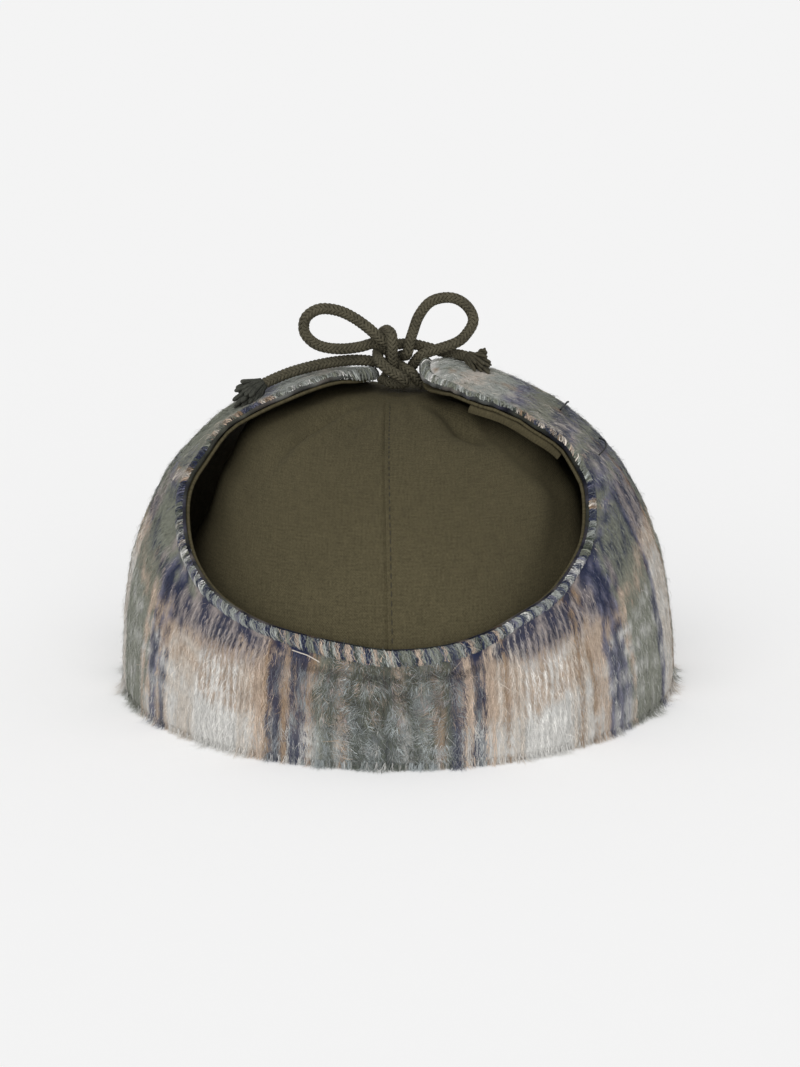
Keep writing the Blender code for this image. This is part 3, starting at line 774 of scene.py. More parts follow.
def edge_dye(cloth, yarn):
    """The dye of the rolled edge's yarns. Each yarn, by its number, is a light or a dark one."""
    chance = np.random.default_rng(SEED + 3).integers(0, 3, int(yarn.max()) + 1)[yarn]
    dyes = np.zeros((len(yarn), 3))
    for side, rows in ((cloth[:, 0] > 0, EDGE_RIGHT), (cloth[:, 0] <= 0, EDGE_LEFT)):
        row = np.searchsorted([row[0] for row in rows], cloth[:, 1], side="right") - 1
        for parity in (0, 1):
            colours = np.array([row[1 + parity] for row in rows])
            here = side & (yarn // 2 % 2 == parity)
            dyes[here] = colours[np.clip(row, 0, len(rows) - 1)[here], chance[here]]
    return dyes


def haze(dyes, amount):
    """Dyes made paler by brushed fibre over them."""
    return blend(dyes, np.maximum(dyes, HAZE), amount[:, None])


def veil(cloth, dyes, seed, thick=1.0):
    """Dyes under a veil of pale brushed fibre, which lies in patches and thickest low on the neck."""
    middle = fade(24, 40, np.abs(cloth[:, 0]))
    low = fade(6, 26, cloth[:, 1])
    side = smoothstep(84, 96, np.abs(cloth[:, 0]))
    patches = 0.55 * noise_over(cloth, 3.2, 4.5, seed) + 0.45 * noise_over(cloth, 1.0, 1.8, seed + 1)
    amount = smoothstep(0.38, 0.8 - 0.15 * middle, patches)
    return haze(dyes, amount * (0.38 - 0.18 * side + 0.5 * middle * low) * thick)


# The crown

CROWN_ROWS = (2.5, 4.0, *np.arange(6.0, 84.5, 1.3))  # degrees down from the top
CROWN_EVEN = 100  # columns round each side of the crown, beside those at the seam
INSIDE_STEP = 4  # the inner face has one row for this many of the outer one's
SEAM_COLUMNS = (-6.0, -3.5, -1.8, -0.9, -0.4, -0.15, 0.15, 0.5, 1.0, 1.45, 1.8, 2.15, 2.8, 4.5, 7.0)
SEAM_TOP = -4.6 * MM  # how far across the cap from its middle the seam begins and ends
SEAM_FOOT = -1.0 * MM
SEAM_STITCH = 1.8 * MM  # from the seam to its topstitching
STITCH_LENGTH = 2.2 * MM
STITCH_PITCH = 2.9 * MM
STITCH_RADIUS = 0.17 * MM
STITCH_LIFT = np.array([-0.25, 0.02, 0.1, 0.1, 0.02, -0.25]) * MM  # over the cloth, along each stitch
MARGIN_DEPTH = 3.0 * MM  # how much further the crown falls in beside the ear flaps
MARGIN_WIDTH = 17 * MM
LEFT_MARGIN = 0.3  # the left ear flap's share of that depth

# The folds that the knot draws in the crown. Each row is a fold's bearing in degrees, its depth and its width
# in millimetres, and how far down the crown it ends, in degrees
CROWN_FOLDS = ((-47, 3.2, 3.2, 42), (-24, 1.2, 2.2, 27), (38, 2.6, 2.8, 33), (68, 1.2, 2.2, 30))


def seam_place(fall):
    """How far across the cap the crown's seam runs at this height."""
    return blend(SEAM_TOP, SEAM_FOOT, smoothstep(0, 90, fall))


def seam_relief(x, along):
    """How far the cloth stands out beside the seam that runs over the crown, by the distance from it."""
    groove = -0.45 * MM * bell(x, 0.28 * MM)
    layers = 0.35 * MM * smoothstep(0.1 * MM, 0.5 * MM, x) * fade(5 * MM, 9 * MM, x)
    sunk = -0.22 * MM * bell(x - SEAM_STITCH, 0.45 * MM)
    pucker = 0.10 * MM * np.sin(along / (1.1 * MM) + 1.5 * np.sin(along / (7 * MM)))
    return groove + layers + sunk + pucker * bell(x, 3 * MM)


def crown_folds(bearing, fall):
    """How far the folds that the knot draws stand out from the crown."""
    relief = np.zeros(np.shape(fall))
    for turn, depth, width, end in CROWN_FOLDS:
        across = (bearing - math.radians(turn)) * HALF_WIDTH / MM * np.sin(np.radians(fall)) / width
        shape = 0.45 * bell(across - 1.7, 1) - bell(across, 1)
        fold = depth * MM * shape * smoothstep(6, 13, fall)
        relief = relief + fold * fade(0.55 * end, end, fall)
    return relief


def crown_face(places, inside):
    """The crown's outer or inner face over these places."""
    plain, normal = dome(places)
    bearing, fall = bearing_and_fall(places)
    x, y, z = np.moveaxis(plain, -1, 0)
    near = bell(np.sin(bearing), 0.5)
    waves = 0.9 * MM * (value_noise(x / (24 * MM) + 9, z / (30 * MM) + 5, 1) - 0.5)
    waves = waves + 0.5 * MM * (value_noise(x / (9 * MM) + 9, z / (14 * MM) + 5, 2) - 0.5)
    pull = smoothstep(4, 11, fall) * fade(16, 34, fall) * near
    gathers = 0.45 * MM * np.sin(15 * bearing + 2.2 * np.sin(5 * bearing)) * pull
    relief = waves * near * fade(66, 74, fall) + gathers + crown_folds(bearing, fall)
    relief = relief - crown_inset(places) - crown_margin(places)
    if inside:
        return plain + (relief - CROWN_WALL)[..., None] * normal
    seam = seam_relief(x - seam_place(fall), (90 - fall) * DEGREE) * smoothstep(3, 8, fall)
    return plain + (relief + seam)[..., None] * normal


def crown_margin(places):
    """How much further the crown falls in beside the ear flaps' free edges, and under them."""
    distance = edge_distance(places)
    open_side = fade(0, MARGIN_WIDTH, distance)
    flap_side = fade(3 * MM, 15 * MM, distance)
    bearing, fall = bearing_and_fall(places)
    ear = smoothstep(0.35, 0.8, np.abs(np.sin(bearing))) * smoothstep(12, 26, fall)
    ear = ear * np.where(places[..., 0] < 0, LEFT_MARGIN, 1.0)
    return MARGIN_DEPTH * ear * np.where(inside_ring(places, EDGE_PATH), open_side, flap_side)


def crown_columns(fall):
    """Bearings round the crown at this height, close together beside the seam and even elsewhere."""
    reach = HALF_WIDTH / MM * math.sin(math.radians(fall)) ** (2 / SQUARENESS)
    squeeze = min(0.45 * reach / SEAM_COLUMNS[-1], 1.0)
    beside = np.arcsin(np.clip((np.array(SEAM_COLUMNS) * squeeze + seam_place(fall) / MM) / reach, -1, 1))
    front = math.pi - beside[::-1]
    right = np.linspace(beside[-1], front[0], CROWN_EVEN)[1:-1]
    left = np.linspace(front[-1], math.tau + beside[0], CROWN_EVEN)[1:-1]
    return np.concatenate([beside, right, front, left])


def crown():
    columns = [crown_columns(fall) for fall in CROWN_ROWS]
    width = len(columns[0])
    rings = []
    spots = []
    for inside in (False, True):
        face = []
        for fall, bearings in list(zip(CROWN_ROWS, columns))[:: INSIDE_STEP if inside else 1]:
            places = place_at(bearings, fall)
            face.append((crown_face(places, inside), places))
        wall = np.full(width, -CROWN_WALL if inside else 0.0)
        face.append((at_rim(columns[-1], wall, CROWN_FOOT), place_at(columns[-1], FOLD_FALL)))
        face = face[::-1] if inside else face
        rings += [points for points, places in face]
        spots += [places for points, places in face]
    faces = [tuple(reversed(face)) for face in ring_faces(len(rings), width)]
    top = dome(np.zeros((1, 2)))[0][0]
    points = np.concatenate(rings + [[top, top - (0, 0, CROWN_WALL)]])
    count = len(points) - 2
    last = count - width
    for i in range(width):
        j = (i + 1) % width
        faces.append((count, i, j))
        faces.append((count + 1, last + j, last + i))
    obj = mesh_piece("crown_cloth", points, faces, cotton("crown_cotton", OLIVE), sharp=60)
    bearing, fall = bearing_and_fall(np.concatenate(spots))
    across = dome_reach(fall) * np.interp(np.abs(bearing), RIM_BEARINGS, RIM_LENGTHS) * np.sign(bearing)
    weave = np.stack([across, (90 - fall) * DEGREE / MM], -1)
    set_uv(obj.data, "Weave", np.concatenate([weave, np.zeros((2, 2))]))
    show(fix_normals(obj), "crown")


def seam_stitches():
    """The topstitching beside the crown's seam."""
    strands = Strands()
    falls = np.linspace(9, 84, 400)
    bearings = np.arcsin((seam_place(falls) + SEAM_STITCH) / (HALF_WIDTH * dome_reach(falls)))
    for side in (-1, 1):
        places = np.stack([falls * np.sin(bearings), side * falls * np.cos(bearings)], -1)
        line = crown_face(places, False)
        normal = dome(places)[1]
        lengths = lengths_along(line)
        for start in np.arange(0, lengths[-1] - STITCH_LENGTH, STITCH_PITCH):
            goals = start + STITCH_LENGTH * np.linspace(0, 1, len(STITCH_LIFT))
            out = points_at(normal, lengths, goals) * STITCH_LIFT[:, None]
            strands.add(points_at(line, lengths, goals) + out, STITCH_RADIUS, 6)
    # The thread's dye carries painted shade of the stitch holes
    show(strands.piece("seam_stitches", thread("olive_thread_hole_shade", STITCH_OLIVE_HOLE_SHADE)))


# The flap

EDGE_SPACING = 0.9  # between points along the flap's edges, as a share of its grid
ROW_NEAREST = 0.85  # a row's points lie at least this share of its distance from the edge
POINT_NEAREST = 0.3  # the least gap between a row's points and others, as a share of the grid
LATTICE_NEAREST = 0.6  # the least gap between the even triangles and the rows, as a share of the grid
WELD = 1e-7


def along_ring(points):
    """The way along a closed ring at each of its points."""
    return np.roll(points, -1, axis=0) - np.roll(points, 1, axis=0)


def step_beside(line, along, distance):
    """The places this far inside the flap from a line of places on it."""
    inward = unit(np.stack([along[:, 1], -along[:, 0]], -1))
    scale = np.linalg.norm(on_flap(line + inward) - on_flap(line), axis=1)
    return line + inward * (distance / scale)[:, None]


def step_in(ring, distance):
    """The places this far inside the flap from each place of its free edge."""
    return step_beside(ring, along_ring(ring), distance)


def inside_ring(places, ring):
    """Which places lie within a closed ring."""
    inside = np.zeros(len(places), bool)
    for a, b in zip(ring, np.roll(ring, -1, axis=0)):
        crosses = (a[1] > places[:, 1]) != (b[1] > places[:, 1])
        if crosses.any():
            reach = a[0] + (b[0] - a[0]) * (places[:, 1] - a[1]) / (b[1] - a[1])
            inside ^= crosses & (places[:, 0] < reach)
    return inside


def flap_layout(grid, rows):
    """The flap laid out on the dome in even triangles, with rows at these distances along its free edge."""
    free = resample(EDGE_PATH, grid * EDGE_SPACING, EDGE_POINTS, closed=True)
    circle = place_at(np.linspace(0, math.tau, 361)[:-1], FOLD_FALL)
    fold = resample(circle, grid * EDGE_SPACING, on_flap(circle), closed=True)
    places = np.concatenate([free, fold])
    step = grid / DEGREE
    for distance in rows:
        row = step_in(free, distance)
        row = row[edge_distance(row) > ROW_NEAREST * distance]
        apart = np.linalg.norm(row[:, None] - places[None], axis=2).min(1)
        places = np.concatenate([places, row[apart > POINT_NEAREST * step]])
    reach = math.ceil(FOLD_FALL / step) + 1
    lattice = np.array([((i + 0.5 * (j % 2)) * step, j * step * math.sqrt(0.75))
                        for j in range(-reach, reach + 1) for i in range(-reach, reach + 1)])
    lattice = lattice[np.linalg.norm(lattice, axis=1) < FOLD_FALL - LATTICE_NEAREST * step]
    lattice = lattice[~inside_ring(lattice, free)]
    lattice = lattice[edge_distance(lattice) > rows[-1] + LATTICE_NEAREST * grid]
    places = np.concatenate([places, lattice])
    free_row = np.arange(len(free))
    fold_row = np.arange(len(free), len(free) + len(fold))
    edges = [(int(row[i - 1]), int(row[i])) for row in (free_row, fold_row) for i in range(len(row))]
    found = delaunay_2d_cdt([Vector(place) for place in places], edges, [], 0, WELD)
    source = [group[0] for group in found[3]]
    triangles = np.array([[source[k] for k in face] for face in found[2]])
    middle = places[triangles].mean(1)
    kept = (np.linalg.norm(middle, axis=1) < FOLD_FALL) & ~inside_ring(middle, free)
    return places, triangles[kept], free_row, fold_row


def rounded_edge(outer, inner, along, bulge, steps):
    """Points of half ellipses from outer points round to inner ones, bulging away from the flap."""
    middle = (outer + inner) / 2
    half = (outer - inner) / 2
    away = unit(np.cross(half, along)) * bulge
    angles = np.pi * np.arange(1, steps + 1) / (steps + 1)
    return [middle + half * math.cos(angle) + away * math.sin(angle) for angle in angles]


def foot_rings(bearing, gap, foot, parts):
    """Rings of points down and round a layer's fold."""
    path = smooth_path(foot, parts=parts)
    return [at_rim(bearing, gap * share + out * MM, up * MM) for share, out, up in path]


def flap_layer(layout, inner, outer, rounding, foot, parts):
    """The points and faces of one layer of the flap, with each point's place on the dome."""
    places, triangles, free_row, fold_row = layout
    count = len(places)
    distance = edge_distance(places)
    top = dome(places, outer(places, distance))[0]
    back = dome(places, inner(places, distance))[0]
    points = [top, back]
    spots = [places, places]
    faces = [tuple(face) for face in triangles]
    faces += [tuple(count + k for k in reversed(face)) for face in triangles]
    along = along_ring(top[free_row])
    bearing = bearing_and_fall(places[fold_row])[0]
    gap = stand_off(places[fold_row], np.full(len(fold_row), CURL_WIDTH))
    total = 2 * count
    for row, rings in (
        (free_row, rounded_edge(top[free_row], back[free_row], along, *rounding)),
        (fold_row, foot_rings(bearing, gap, foot, parts)),
    ):
        columns = [row]
        for ring in rings:
            points.append(ring)
            spots.append(places[row])
            columns.append(np.arange(total, total + len(ring)))
            total += len(ring)
        columns.append(count + row)
        for first, second in zip(columns, columns[1:]):
            ahead = np.roll(first, -1), np.roll(second, -1)
            faces += list(zip(first.tolist(), second.tolist(), ahead[1].tolist(), ahead[0].tolist()))
    return np.concatenate(points), faces, np.concatenate(spots)


def facing():
    """The cotton layer of the flap, toward the crown."""

    def inner(places, distance):
        ripple = noise_over(places, 4, 4, 3, 30) - 0.5
        return stand_off(places, distance) + 0.35 * MM * ripple * smoothstep(0, 9 * MM, distance)

    def outer(places, distance):
        return stand_off(places, distance) + SHELL_THICKNESS

    layout = flap_layout(5 * MM, (1.5 * MM, 3.2 * MM, 6 * MM, 9 * MM))
    points, faces, spots = flap_layer(layout, inner, outer, (0.5 * MM, 3), SHELL_FOOT, 1)
    material = cotton("facing_cotton", times(OLIVE, 1.05))
    obj = mesh_piece("flap_facing", points, faces, material)
    set_uv(obj.data, "Weave", cloth_place(spots))
    show(fix_normals(obj), "flap_shell")


NAP_DEPTH = 0.8 * MM
FOOT_PARTS = 3  # steps of the fold between the rows of MOHAIR_FOOT
FOOT_NAP = 9  # how many rows of the fold carry nap
RIGHT_TIP = (4.5, -1.0)  # the ears' tips are swollen around these places, and pushed by this much
LEFT_TIP = (-5.0, 0.5)
TIP_WIDTH = 5.0
COMBED_WIDTH = 34 * MM  # how far from the ears' edges the nap still lies along them
RIGHT_PUSH = (-1.2 * MM, 0.0, 2.2 * MM)
LEFT_PUSH = (1.5 * MM, 0.0, -0.5 * MM)


def mohair_back(places, distance):
    return stand_off(places, distance) + MOHAIR_BACK + 0.1 * MM


def mohair_top(places, distance):
    """How far the mohair cloth's outer face lies from the crown, under its nap."""
    full = blend(1.6 * MM, MOHAIR_THICKNESS - NAP_DEPTH, smoothstep(3 * MM, 10 * MM, distance))
    lumps = noise_over(places, 2.2, 2.2, 4, 50) - 0.5
    swell = 0.7 * MM * lumps * smoothstep(6 * MM, 14 * MM, distance)
    return stand_off(places, distance) + MOHAIR_BACK + full + swell


def tip_share(places, tip):
    return np.exp(-np.sum(((places - np.array(tip)) / TIP_WIDTH) ** 2, -1))


def plump_tips(points, places):
    """The ear tips' mohair, swollen and pushed up against the knot."""
    for tip, push in ((RIGHT_TIP, RIGHT_PUSH), (LEFT_TIP, LEFT_PUSH)):
        points = points + tip_share(places, tip)[..., None] * np.array(push)
    return points


def nap_directions(places):
    """The way the nap lies: down the cloth, and beside the ears' back edges along them."""
    nudge = 0.05  # degrees
    here = cloth_place(places)
    right = cloth_place(places + (nudge, 0)) - here
    ahead = cloth_place(places + (0, nudge)) - here
    lie = unit(np.stack([-ahead[:, 0], right[:, 0]], -1))
    down = lie[:, 0] * right[:, 1] + lie[:, 1] * ahead[:, 1] < 0
    lie = np.where(down[:, None], lie, -lie)
    distance, nearest = nearest_on_edge(places)
    edge = unit(np.roll(EDGE_PATH, -1, axis=0) - EDGE_PATH)[nearest]
    edge = np.where((np.sum(edge * lie, 1) > 0)[:, None], edge, -edge)
    bearing, fall = bearing_and_fall(places)
    ear = smoothstep(0.55, 0.8, np.abs(np.sin(bearing))) * (fall > 30) + (fall <= 30)
    share = ear * np.exp(-distance / COMBED_WIDTH) * smoothstep(0.35, 0.7, np.abs(np.sum(edge * lie, 1)))
    return unit(blend(lie, edge, share[:, None]))


def mohair_cloth():
    """The woven ground of the mohair.

    Gives what its nap needs: the ground's points, its outer triangles, the way the nap lies at each
    point, its normals, its places in the flat cloth and its places on the dome."""
    layout = flap_layout(3 * MM, (1.5 * MM, 3 * MM, 5 * MM, 7 * MM, 9.5 * MM))
    layer = flap_layer(layout, mohair_back, mohair_top, (0.8 * MM, 3), MOHAIR_FOOT, FOOT_PARTS)
    points, faces, spots = layer
    points = plump_tips(points, spots)
    obj = mesh_piece("mohair_cloth", points, faces, mohair())
    fix_normals(obj)
    cloth = cloth_place(spots)
    set_uv(obj.data, "Cloth", cloth)
    ragged = 2 * noise_over(cloth, 3.0, 9.0, 6, 80) - 1
    # Painted shade: the ground's dye darkens toward the free edge, where it lies under the rolled edge
    under_roll_shade = 0.15 + 0.85 * smoothstep(0.2 * MM, 2.4 * MM, edge_distance(spots))
    set_dye(obj.data, 0.75 * under_roll_shade[:, None] * plaid(cloth, yarn_pick(cloth, 0.0), ragged))
    show(obj, "flap_mohair")
    lie = nap_directions(spots)
    ahead = on_flap(spots + 0.2 * lie) - on_flap(spots)
    normals = np.empty(len(points) * 3)
    obj.data.vertices.foreach_get("normal", normals)
    folded = len(layout[3])
    foot = faces[-folded * (FOOT_PARTS * (len(MOHAIR_FOOT) - 1) + 2):]
    foot = np.array(foot[: folded * FOOT_NAP])
    triangles = np.concatenate([layout[1], foot[:, [0, 1, 2]], foot[:, [0, 2, 3]]])
    return points, triangles, unit(ahead), normals.reshape(-1, 3), cloth, spots


# The nap

EDGE_BARE = 3.0 * MM  # the rolled edge, which has only short fuzz
DOME_RADIUS = 88 * MM
MOHAIR_SEAM = -1.2  # where the cloth's back seam runs, in millimetres along the rim
SEAM_HEIGHT = 30
CENTRE = (14, 24)  # the rough nap at the back centre ends between these distances
COMBED_FOOT = (19, 23)  # on the navy band, by its height, the nap lies straighter
COMBED_TOP = (36, 42)
SHADED_CREASE = 7.6  # how far inside the free edge the painted shade of the crease beside the roll lies, in millimetres
YARN_START = 400  # keeps the rolled edge's yarn numbers above zero
FIBRE_TIP = 0.45  # a fibre's width near its tip, as a share of its width at the root
FIBRE_ROOT = 0.30 * MM  # how deep in the cloth it starts
LOWEST = 0.05 * MM  # no fibre lies closer to the table
# The nap's fibres, and those of the fuzz over it: their size, how far they lift and stray, and their shade
NAP_FIBRE = dict(length=3.6 * MM, width=0.23 * MM, lift=0.30 * MM, stray=0.20, rows=3, colour=1.0)
FUZZ_FIBRE = dict(length=4.5 * MM, width=0.10 * MM, lift=0.80 * MM, stray=0.80, rows=5, colour=1.1)
FUZZ_RARITY = 14  # fibres of nap for each one of fuzz
# Each row is a part of the flap, its fibres, and the bearings that it lies between
NAP_AREAS = (
    ("neck", 58000, (-42, 42)),
    ("right_ear", 46000, (42, 138)),
    ("left_ear", 46000, (-138, -42)),
    ("forehead", 20000, (138, 181), (-181, -138)),
)


def sample_faces(points, triangles, amount, rng):
    """Random places on triangles, evenly spread: which triangle each is in, and its three shares."""
    a, b, c = points[triangles].transpose(1, 0, 2)
    area = np.linalg.norm(np.cross(b - a, c - a), axis=1)
    chosen = rng.choice(len(triangles), amount, p=area / area.sum())
    first = np.sqrt(rng.random(amount))
    second = rng.random(amount)
    return chosen, np.stack([1 - first, first * (1 - second), first * second], -1)


def half_widths(direction, width, rows, rng, swell=1.0):
    """Half a width across each fibre, as vectors. Fibres vary in width, and each tapers toward its tip."""
    half = 0.5 * width * (0.7 + 0.6 * rng.random(len(direction))) * swell
    return direction[:, None] * (half[:, None] * np.linspace(1, FIBRE_TIP, rows - 1)[None])[..., None]


def ribbons(name, path, across, dyes, normals, material):
    """Flat tapered fibres as one mesh.

    path holds points by fibre, across their half widths as vectors, and normals the way each fibre
    faces. The map for baking gives each fibre a cell of its own."""
    fibres, rows = path.shape[:2]
    each = 2 * rows - 1
    points = np.empty((fibres, each, 3))
    points[:, 0:-1:2] = path[:, :-1] - across
    points[:, 1:-1:2] = path[:, :-1] + across
    points[:, -1] = path[:, -1]
    points[..., 2] = np.maximum(points[..., 2], LOWEST)
    faces = []
    for k in range(0, each - 3, 2):
        faces += [(k, k + 2, k + 3), (k, k + 3, k + 1)]
    faces.append((each - 3, each - 1, each - 2))
    every = np.array(faces)[None] + each * np.arange(fibres)[:, None, None]
    obj = mesh_piece(name, points.reshape(-1, 3), every.reshape(-1, 3).tolist(), material)
    share = np.repeat(np.linspace(0, 1, rows), 2)[:-1]
    side = np.tile([0.0, 1.0], rows)[:each]
    corners = np.stack([side, share], -1)
    set_uv(obj.data, "Strand", np.tile(corners, (fibres, 1)))
    set_dye(obj.data, np.repeat(dyes, each, axis=0))
    cells = math.ceil(math.sqrt(fibres))
    cell = np.stack([np.arange(fibres) % cells, np.arange(fibres) // cells], -1)
    set_uv(obj.data, "OFBake", ((cell[:, None] + (0.2 + 0.6 * corners)[None]) / cells).reshape(-1, 2))
    obj.data.normals_split_custom_set_from_vertices(np.repeat(normals, each, axis=0))
    return show(obj)


def beside_seam(cloth, width):
    """1 on the cloth's back seam, falling off beside it."""
    return bell(cloth[:, 0] - MOHAIR_SEAM, width) * (cloth[:, 1] < SEAM_HEIGHT)


def fibre_paths(root, head, cross, normal, reach, rise, bend, rows):
    """Points along fibres that rise from their roots, bend aside and follow the cap round."""
    t = np.linspace(0, 1, rows)[None]
    out = rise[:, None] * (np.sin(np.pi * t**0.8) * 0.8 + 0.3 * t) - FIBRE_ROOT * (1 - t)
    out = out - (reach[:, None] * t) ** 2 / (2 * DOME_RADIUS)
    return (
        root[:, None]
        + head[:, None] * (reach[:, None] * t)[..., None]
        + cross[:, None] * (bend[:, None] * reach[:, None] * t**2)[..., None]
        + normal[:, None] * out[..., None]
    )


def fibre_dyes(cloth, spots, from_edge, comb, seed, rng):
    """The plaid's dye, with the rolled edge's yarns carried a little way over the ears."""
    dyes = fibre_plaid(cloth, rng)
    where = EDGE_LENGTHS[nearest_on_edge(spots)[1]] / MM
    yarn = yarn_number(where + YARN_START + rng.normal(0, 0.15, len(cloth)))
    marked = from_edge < (6 + 6 * noise_over(cloth, 3, 3, seed + 6)) * MM
    marked = marked & (cloth[:, 1] > 55) & (rng.random(len(cloth)) < 0.8)
    dyes = np.where(marked[:, None], edge_dye(cloth, yarn), dyes)
    return blend(veil(cloth, dyes, seed + 5), dyes, 0.7 * comb[:, None])


def fibre_shade(cloth, from_edge, centre, seed, rng):
    """How light each fibre is: patchy at random and darker at the back centre, with painted light and shade
    over the yarn ridges, and painted shade in the seam's groove and in the crease beside the roll.
    """
    varied = 1 + (0.42 + 0.3 * centre) * (rng.random(len(cloth)) - 0.5)
    patch = 0.80 + 0.40 * noise_over(cloth, 0.9, 2.4, seed + 2) - 0.24 * centre
    patch = patch + 0.95 * centre * (noise_over(cloth, 1.7, 1.9, seed + 4) - 0.5)
    # Painted shade in the crease beside the rolled edge
    crease_shade = bell(from_edge / MM - SHADED_CREASE, 0.9) * fade(22, 34, np.abs(cloth[:, 0]))
    # groove is painted shade: darker in the seam's groove and in the crease beside the roll
    groove = (1 - 0.75 * beside_seam(cloth, 0.7)) * (1 - 0.7 * crease_shade)
    # Painted light on the upright yarns and painted shade in the gaps between them
    yarn_ridge_shading = blend(1.0, 1.17 - 0.38 * yarn_pick(cloth, 0.0), fade(45, 70, cloth[:, 1]))
    return varied * patch * groove * yarn_ridge_shading


class Nap:
    """The mohair's brushed fibres, grown from its woven ground."""

    def __init__(self, ground):
        self.points, self.triangles, self.lie, self.normals, self.cloth, self.spots = ground
        self.middle = self.spots[self.triangles].mean(1)
        self.material = hair("mohair_fibre")

    def within(self, low, high):
        """The triangles between these bearings, in degrees."""
        bearing = np.degrees(bearing_and_fall(self.middle)[0])
        return self.triangles[(bearing >= low) & (bearing < high)]

    def roots(self, triangles, amount, rng):
        """Random places on the ground, few of them in the seam and under the rolled edge."""
        chosen, shares = sample_faces(self.points, triangles, amount, rng)
        found = [
            np.einsum("ij,ijk->ik", shares, values[triangles[chosen]])
            for values in (self.points, self.normals, self.lie, self.cloth, self.spots)
        ]
        from_edge = edge_distance(found[4])
        share = np.where(from_edge < EDGE_BARE, 0.10, 1.0) * (1 - 0.97 * beside_seam(found[3], 0.6))
        kept = rng.random(amount) < share
        return [values[kept] for values in (*found, from_edge)]

    def grow(self, name, triangles, amount, seed, length, width, lift, stray, rows, colour):
        """One piece of nap or fuzz."""
        rng = np.random.default_rng(SEED + seed)
        root, normal, lie, cloth, spots, from_edge = self.roots(triangles, amount, rng)
        count = len(root)
        normal = unit(normal)
        centre = fade(*CENTRE, np.abs(cloth[:, 0]))
        comb = smoothstep(*COMBED_FOOT, cloth[:, 1]) * fade(*COMBED_TOP, cloth[:, 1]) * (1 - centre)
        by_seam = beside_seam(cloth, 1.6)
        turn = (0.4 + 1.7 * centre) * (noise_over(cloth, 5, 8, seed) - 0.5)
        turn = turn + (0.45 + 1.65 * centre) * (noise_over(cloth, 1.6, 2.6, seed + 3) - 0.5)
        turn = turn + rng.normal(0, 1, count) * stray * (0.65 + 1.85 * centre)
        turn = turn * (1 - 0.6 * comb) * (1 - 0.8 * by_seam)
        lie = unit(lie - normal * np.sum(lie * normal, 1)[:, None])
        head = winding(lie, np.cross(normal, lie), turn)
        cross = np.cross(normal, head)
        reach = length * (0.5 + 0.8 * rng.random(count)) * np.where(from_edge < EDGE_BARE, 0.5, 1.0)
        rise = lift * rng.gamma(1.6, 0.6, count) * (0.5 + noise_over(cloth, 3, 6, seed + 1))
        bend = rng.normal(0, 0.14, count)
        path = fibre_paths(root, head, cross, normal, reach, np.minimum(rise, 2.4 * lift), bend, rows)
        tilt = rng.normal(0, 0.4, count)
        facing_way = unit(normal * np.cos(tilt)[:, None] - cross * np.sin(tilt)[:, None] * 0.6)
        bright = rng.random(count) < (0.02 + 0.23 * centre) * (1 - comb) * (1 - by_seam)
        across = half_widths(winding(cross, normal, tilt), width, rows, rng, np.where(bright, 1.25, 1.0))
        dyes = fibre_dyes(cloth, spots, from_edge, comb, seed, rng)
        shade = fibre_shade(cloth, from_edge, centre, seed, rng) * colour
        dyes = haze(dyes, bright * (0.55 + 0.45 * rng.random(count)))
        ribbons(name, path, across, dyes * shade[:, None], facing_way, self.material)


def nap(ground):
    """The nap and, over it, a fuzz of fewer, longer and looser fibres."""
    grown = Nap(ground)
    for k, (name, amount, *spans) in enumerate(NAP_AREAS):
        triangles = np.concatenate([grown.within(*span) for span in spans])
        grown.grow("nap_" + name, triangles, amount, 20 + 10 * k, **NAP_FIBRE)
        grown.grow("fuzz_" + name, triangles, amount // FUZZ_RARITY, 60 + 10 * k, **FUZZ_FIBRE)


# The rolled edge

ROLL_PITCH = 0.40 * MM
ROLL_YARN = 0.24 * MM
# Each row is how far inside the free edge, and how high over the roll's middle, in millimetres
ROLL = ((6.2, -0.9), (5.0, -0.3), (3.6, 0.75), (2.2, 1.15), (0.9, 0.9), (-0.2, 0.1), (-0.6, -1.0))
ROLL_MIDDLE = 1.6  # how far the roll's middle lies over the mohair's back, in millimetres
ROLL_SLENDER = 0.62  # the roll's width away from the back centre, as a share of the width there
ROLL_SLANT = (1.1, -0.9)  # how far along the roll its fibres start and end, in millimetres
ROLL_FUZZ = 17000
ROLL_FIBRE = 0.17 * MM


def roll_dyes(cloth, where, rng):
    """The dye of each of the roll's fibres."""
    shift = 0.9 * value_noise(where / 4 + 9, 9.0, 7)
    yarn = yarn_number(where + YARN_START + shift + rng.normal(0, 0.15, len(where)))
    dyes = edge_dye(cloth, yarn)
    other = edge_dye(cloth, yarn + rng.integers(-2, 3, len(yarn)))
    dyes = veil(cloth, np.where((rng.random(len(yarn)) < 0.22)[:, None], other, dyes), 90, 0.55)
    return dyes * (0.55 + 0.75 * rng.random(len(where)))[:, None]


def roll_lines(ring, slender, plump):
    """Lines along the roll, one for each row of its table, and their normals."""
    tops = []
    normals = []
    for far, up in ROLL:
        reach = (np.maximum(far * slender, min(far, 0)) - 0.6 * plump * (far < 2)) * MM
        places = step_in(ring, reach)
        rise = up * np.where(up > 0, 0.6 + 0.4 * slender, 1.0) * (1 + (0.5 if up > 0 else 1.2) * plump)
        level = stand_off(places, np.maximum(reach, 0)) + MOHAIR_BACK + (ROLL_MIDDLE + rise) * MM
        point, normal = dome(places, level)
        tops.append(plump_tips(point, places))
        normals.append(normal)
    return np.array(tops), np.array(normals)


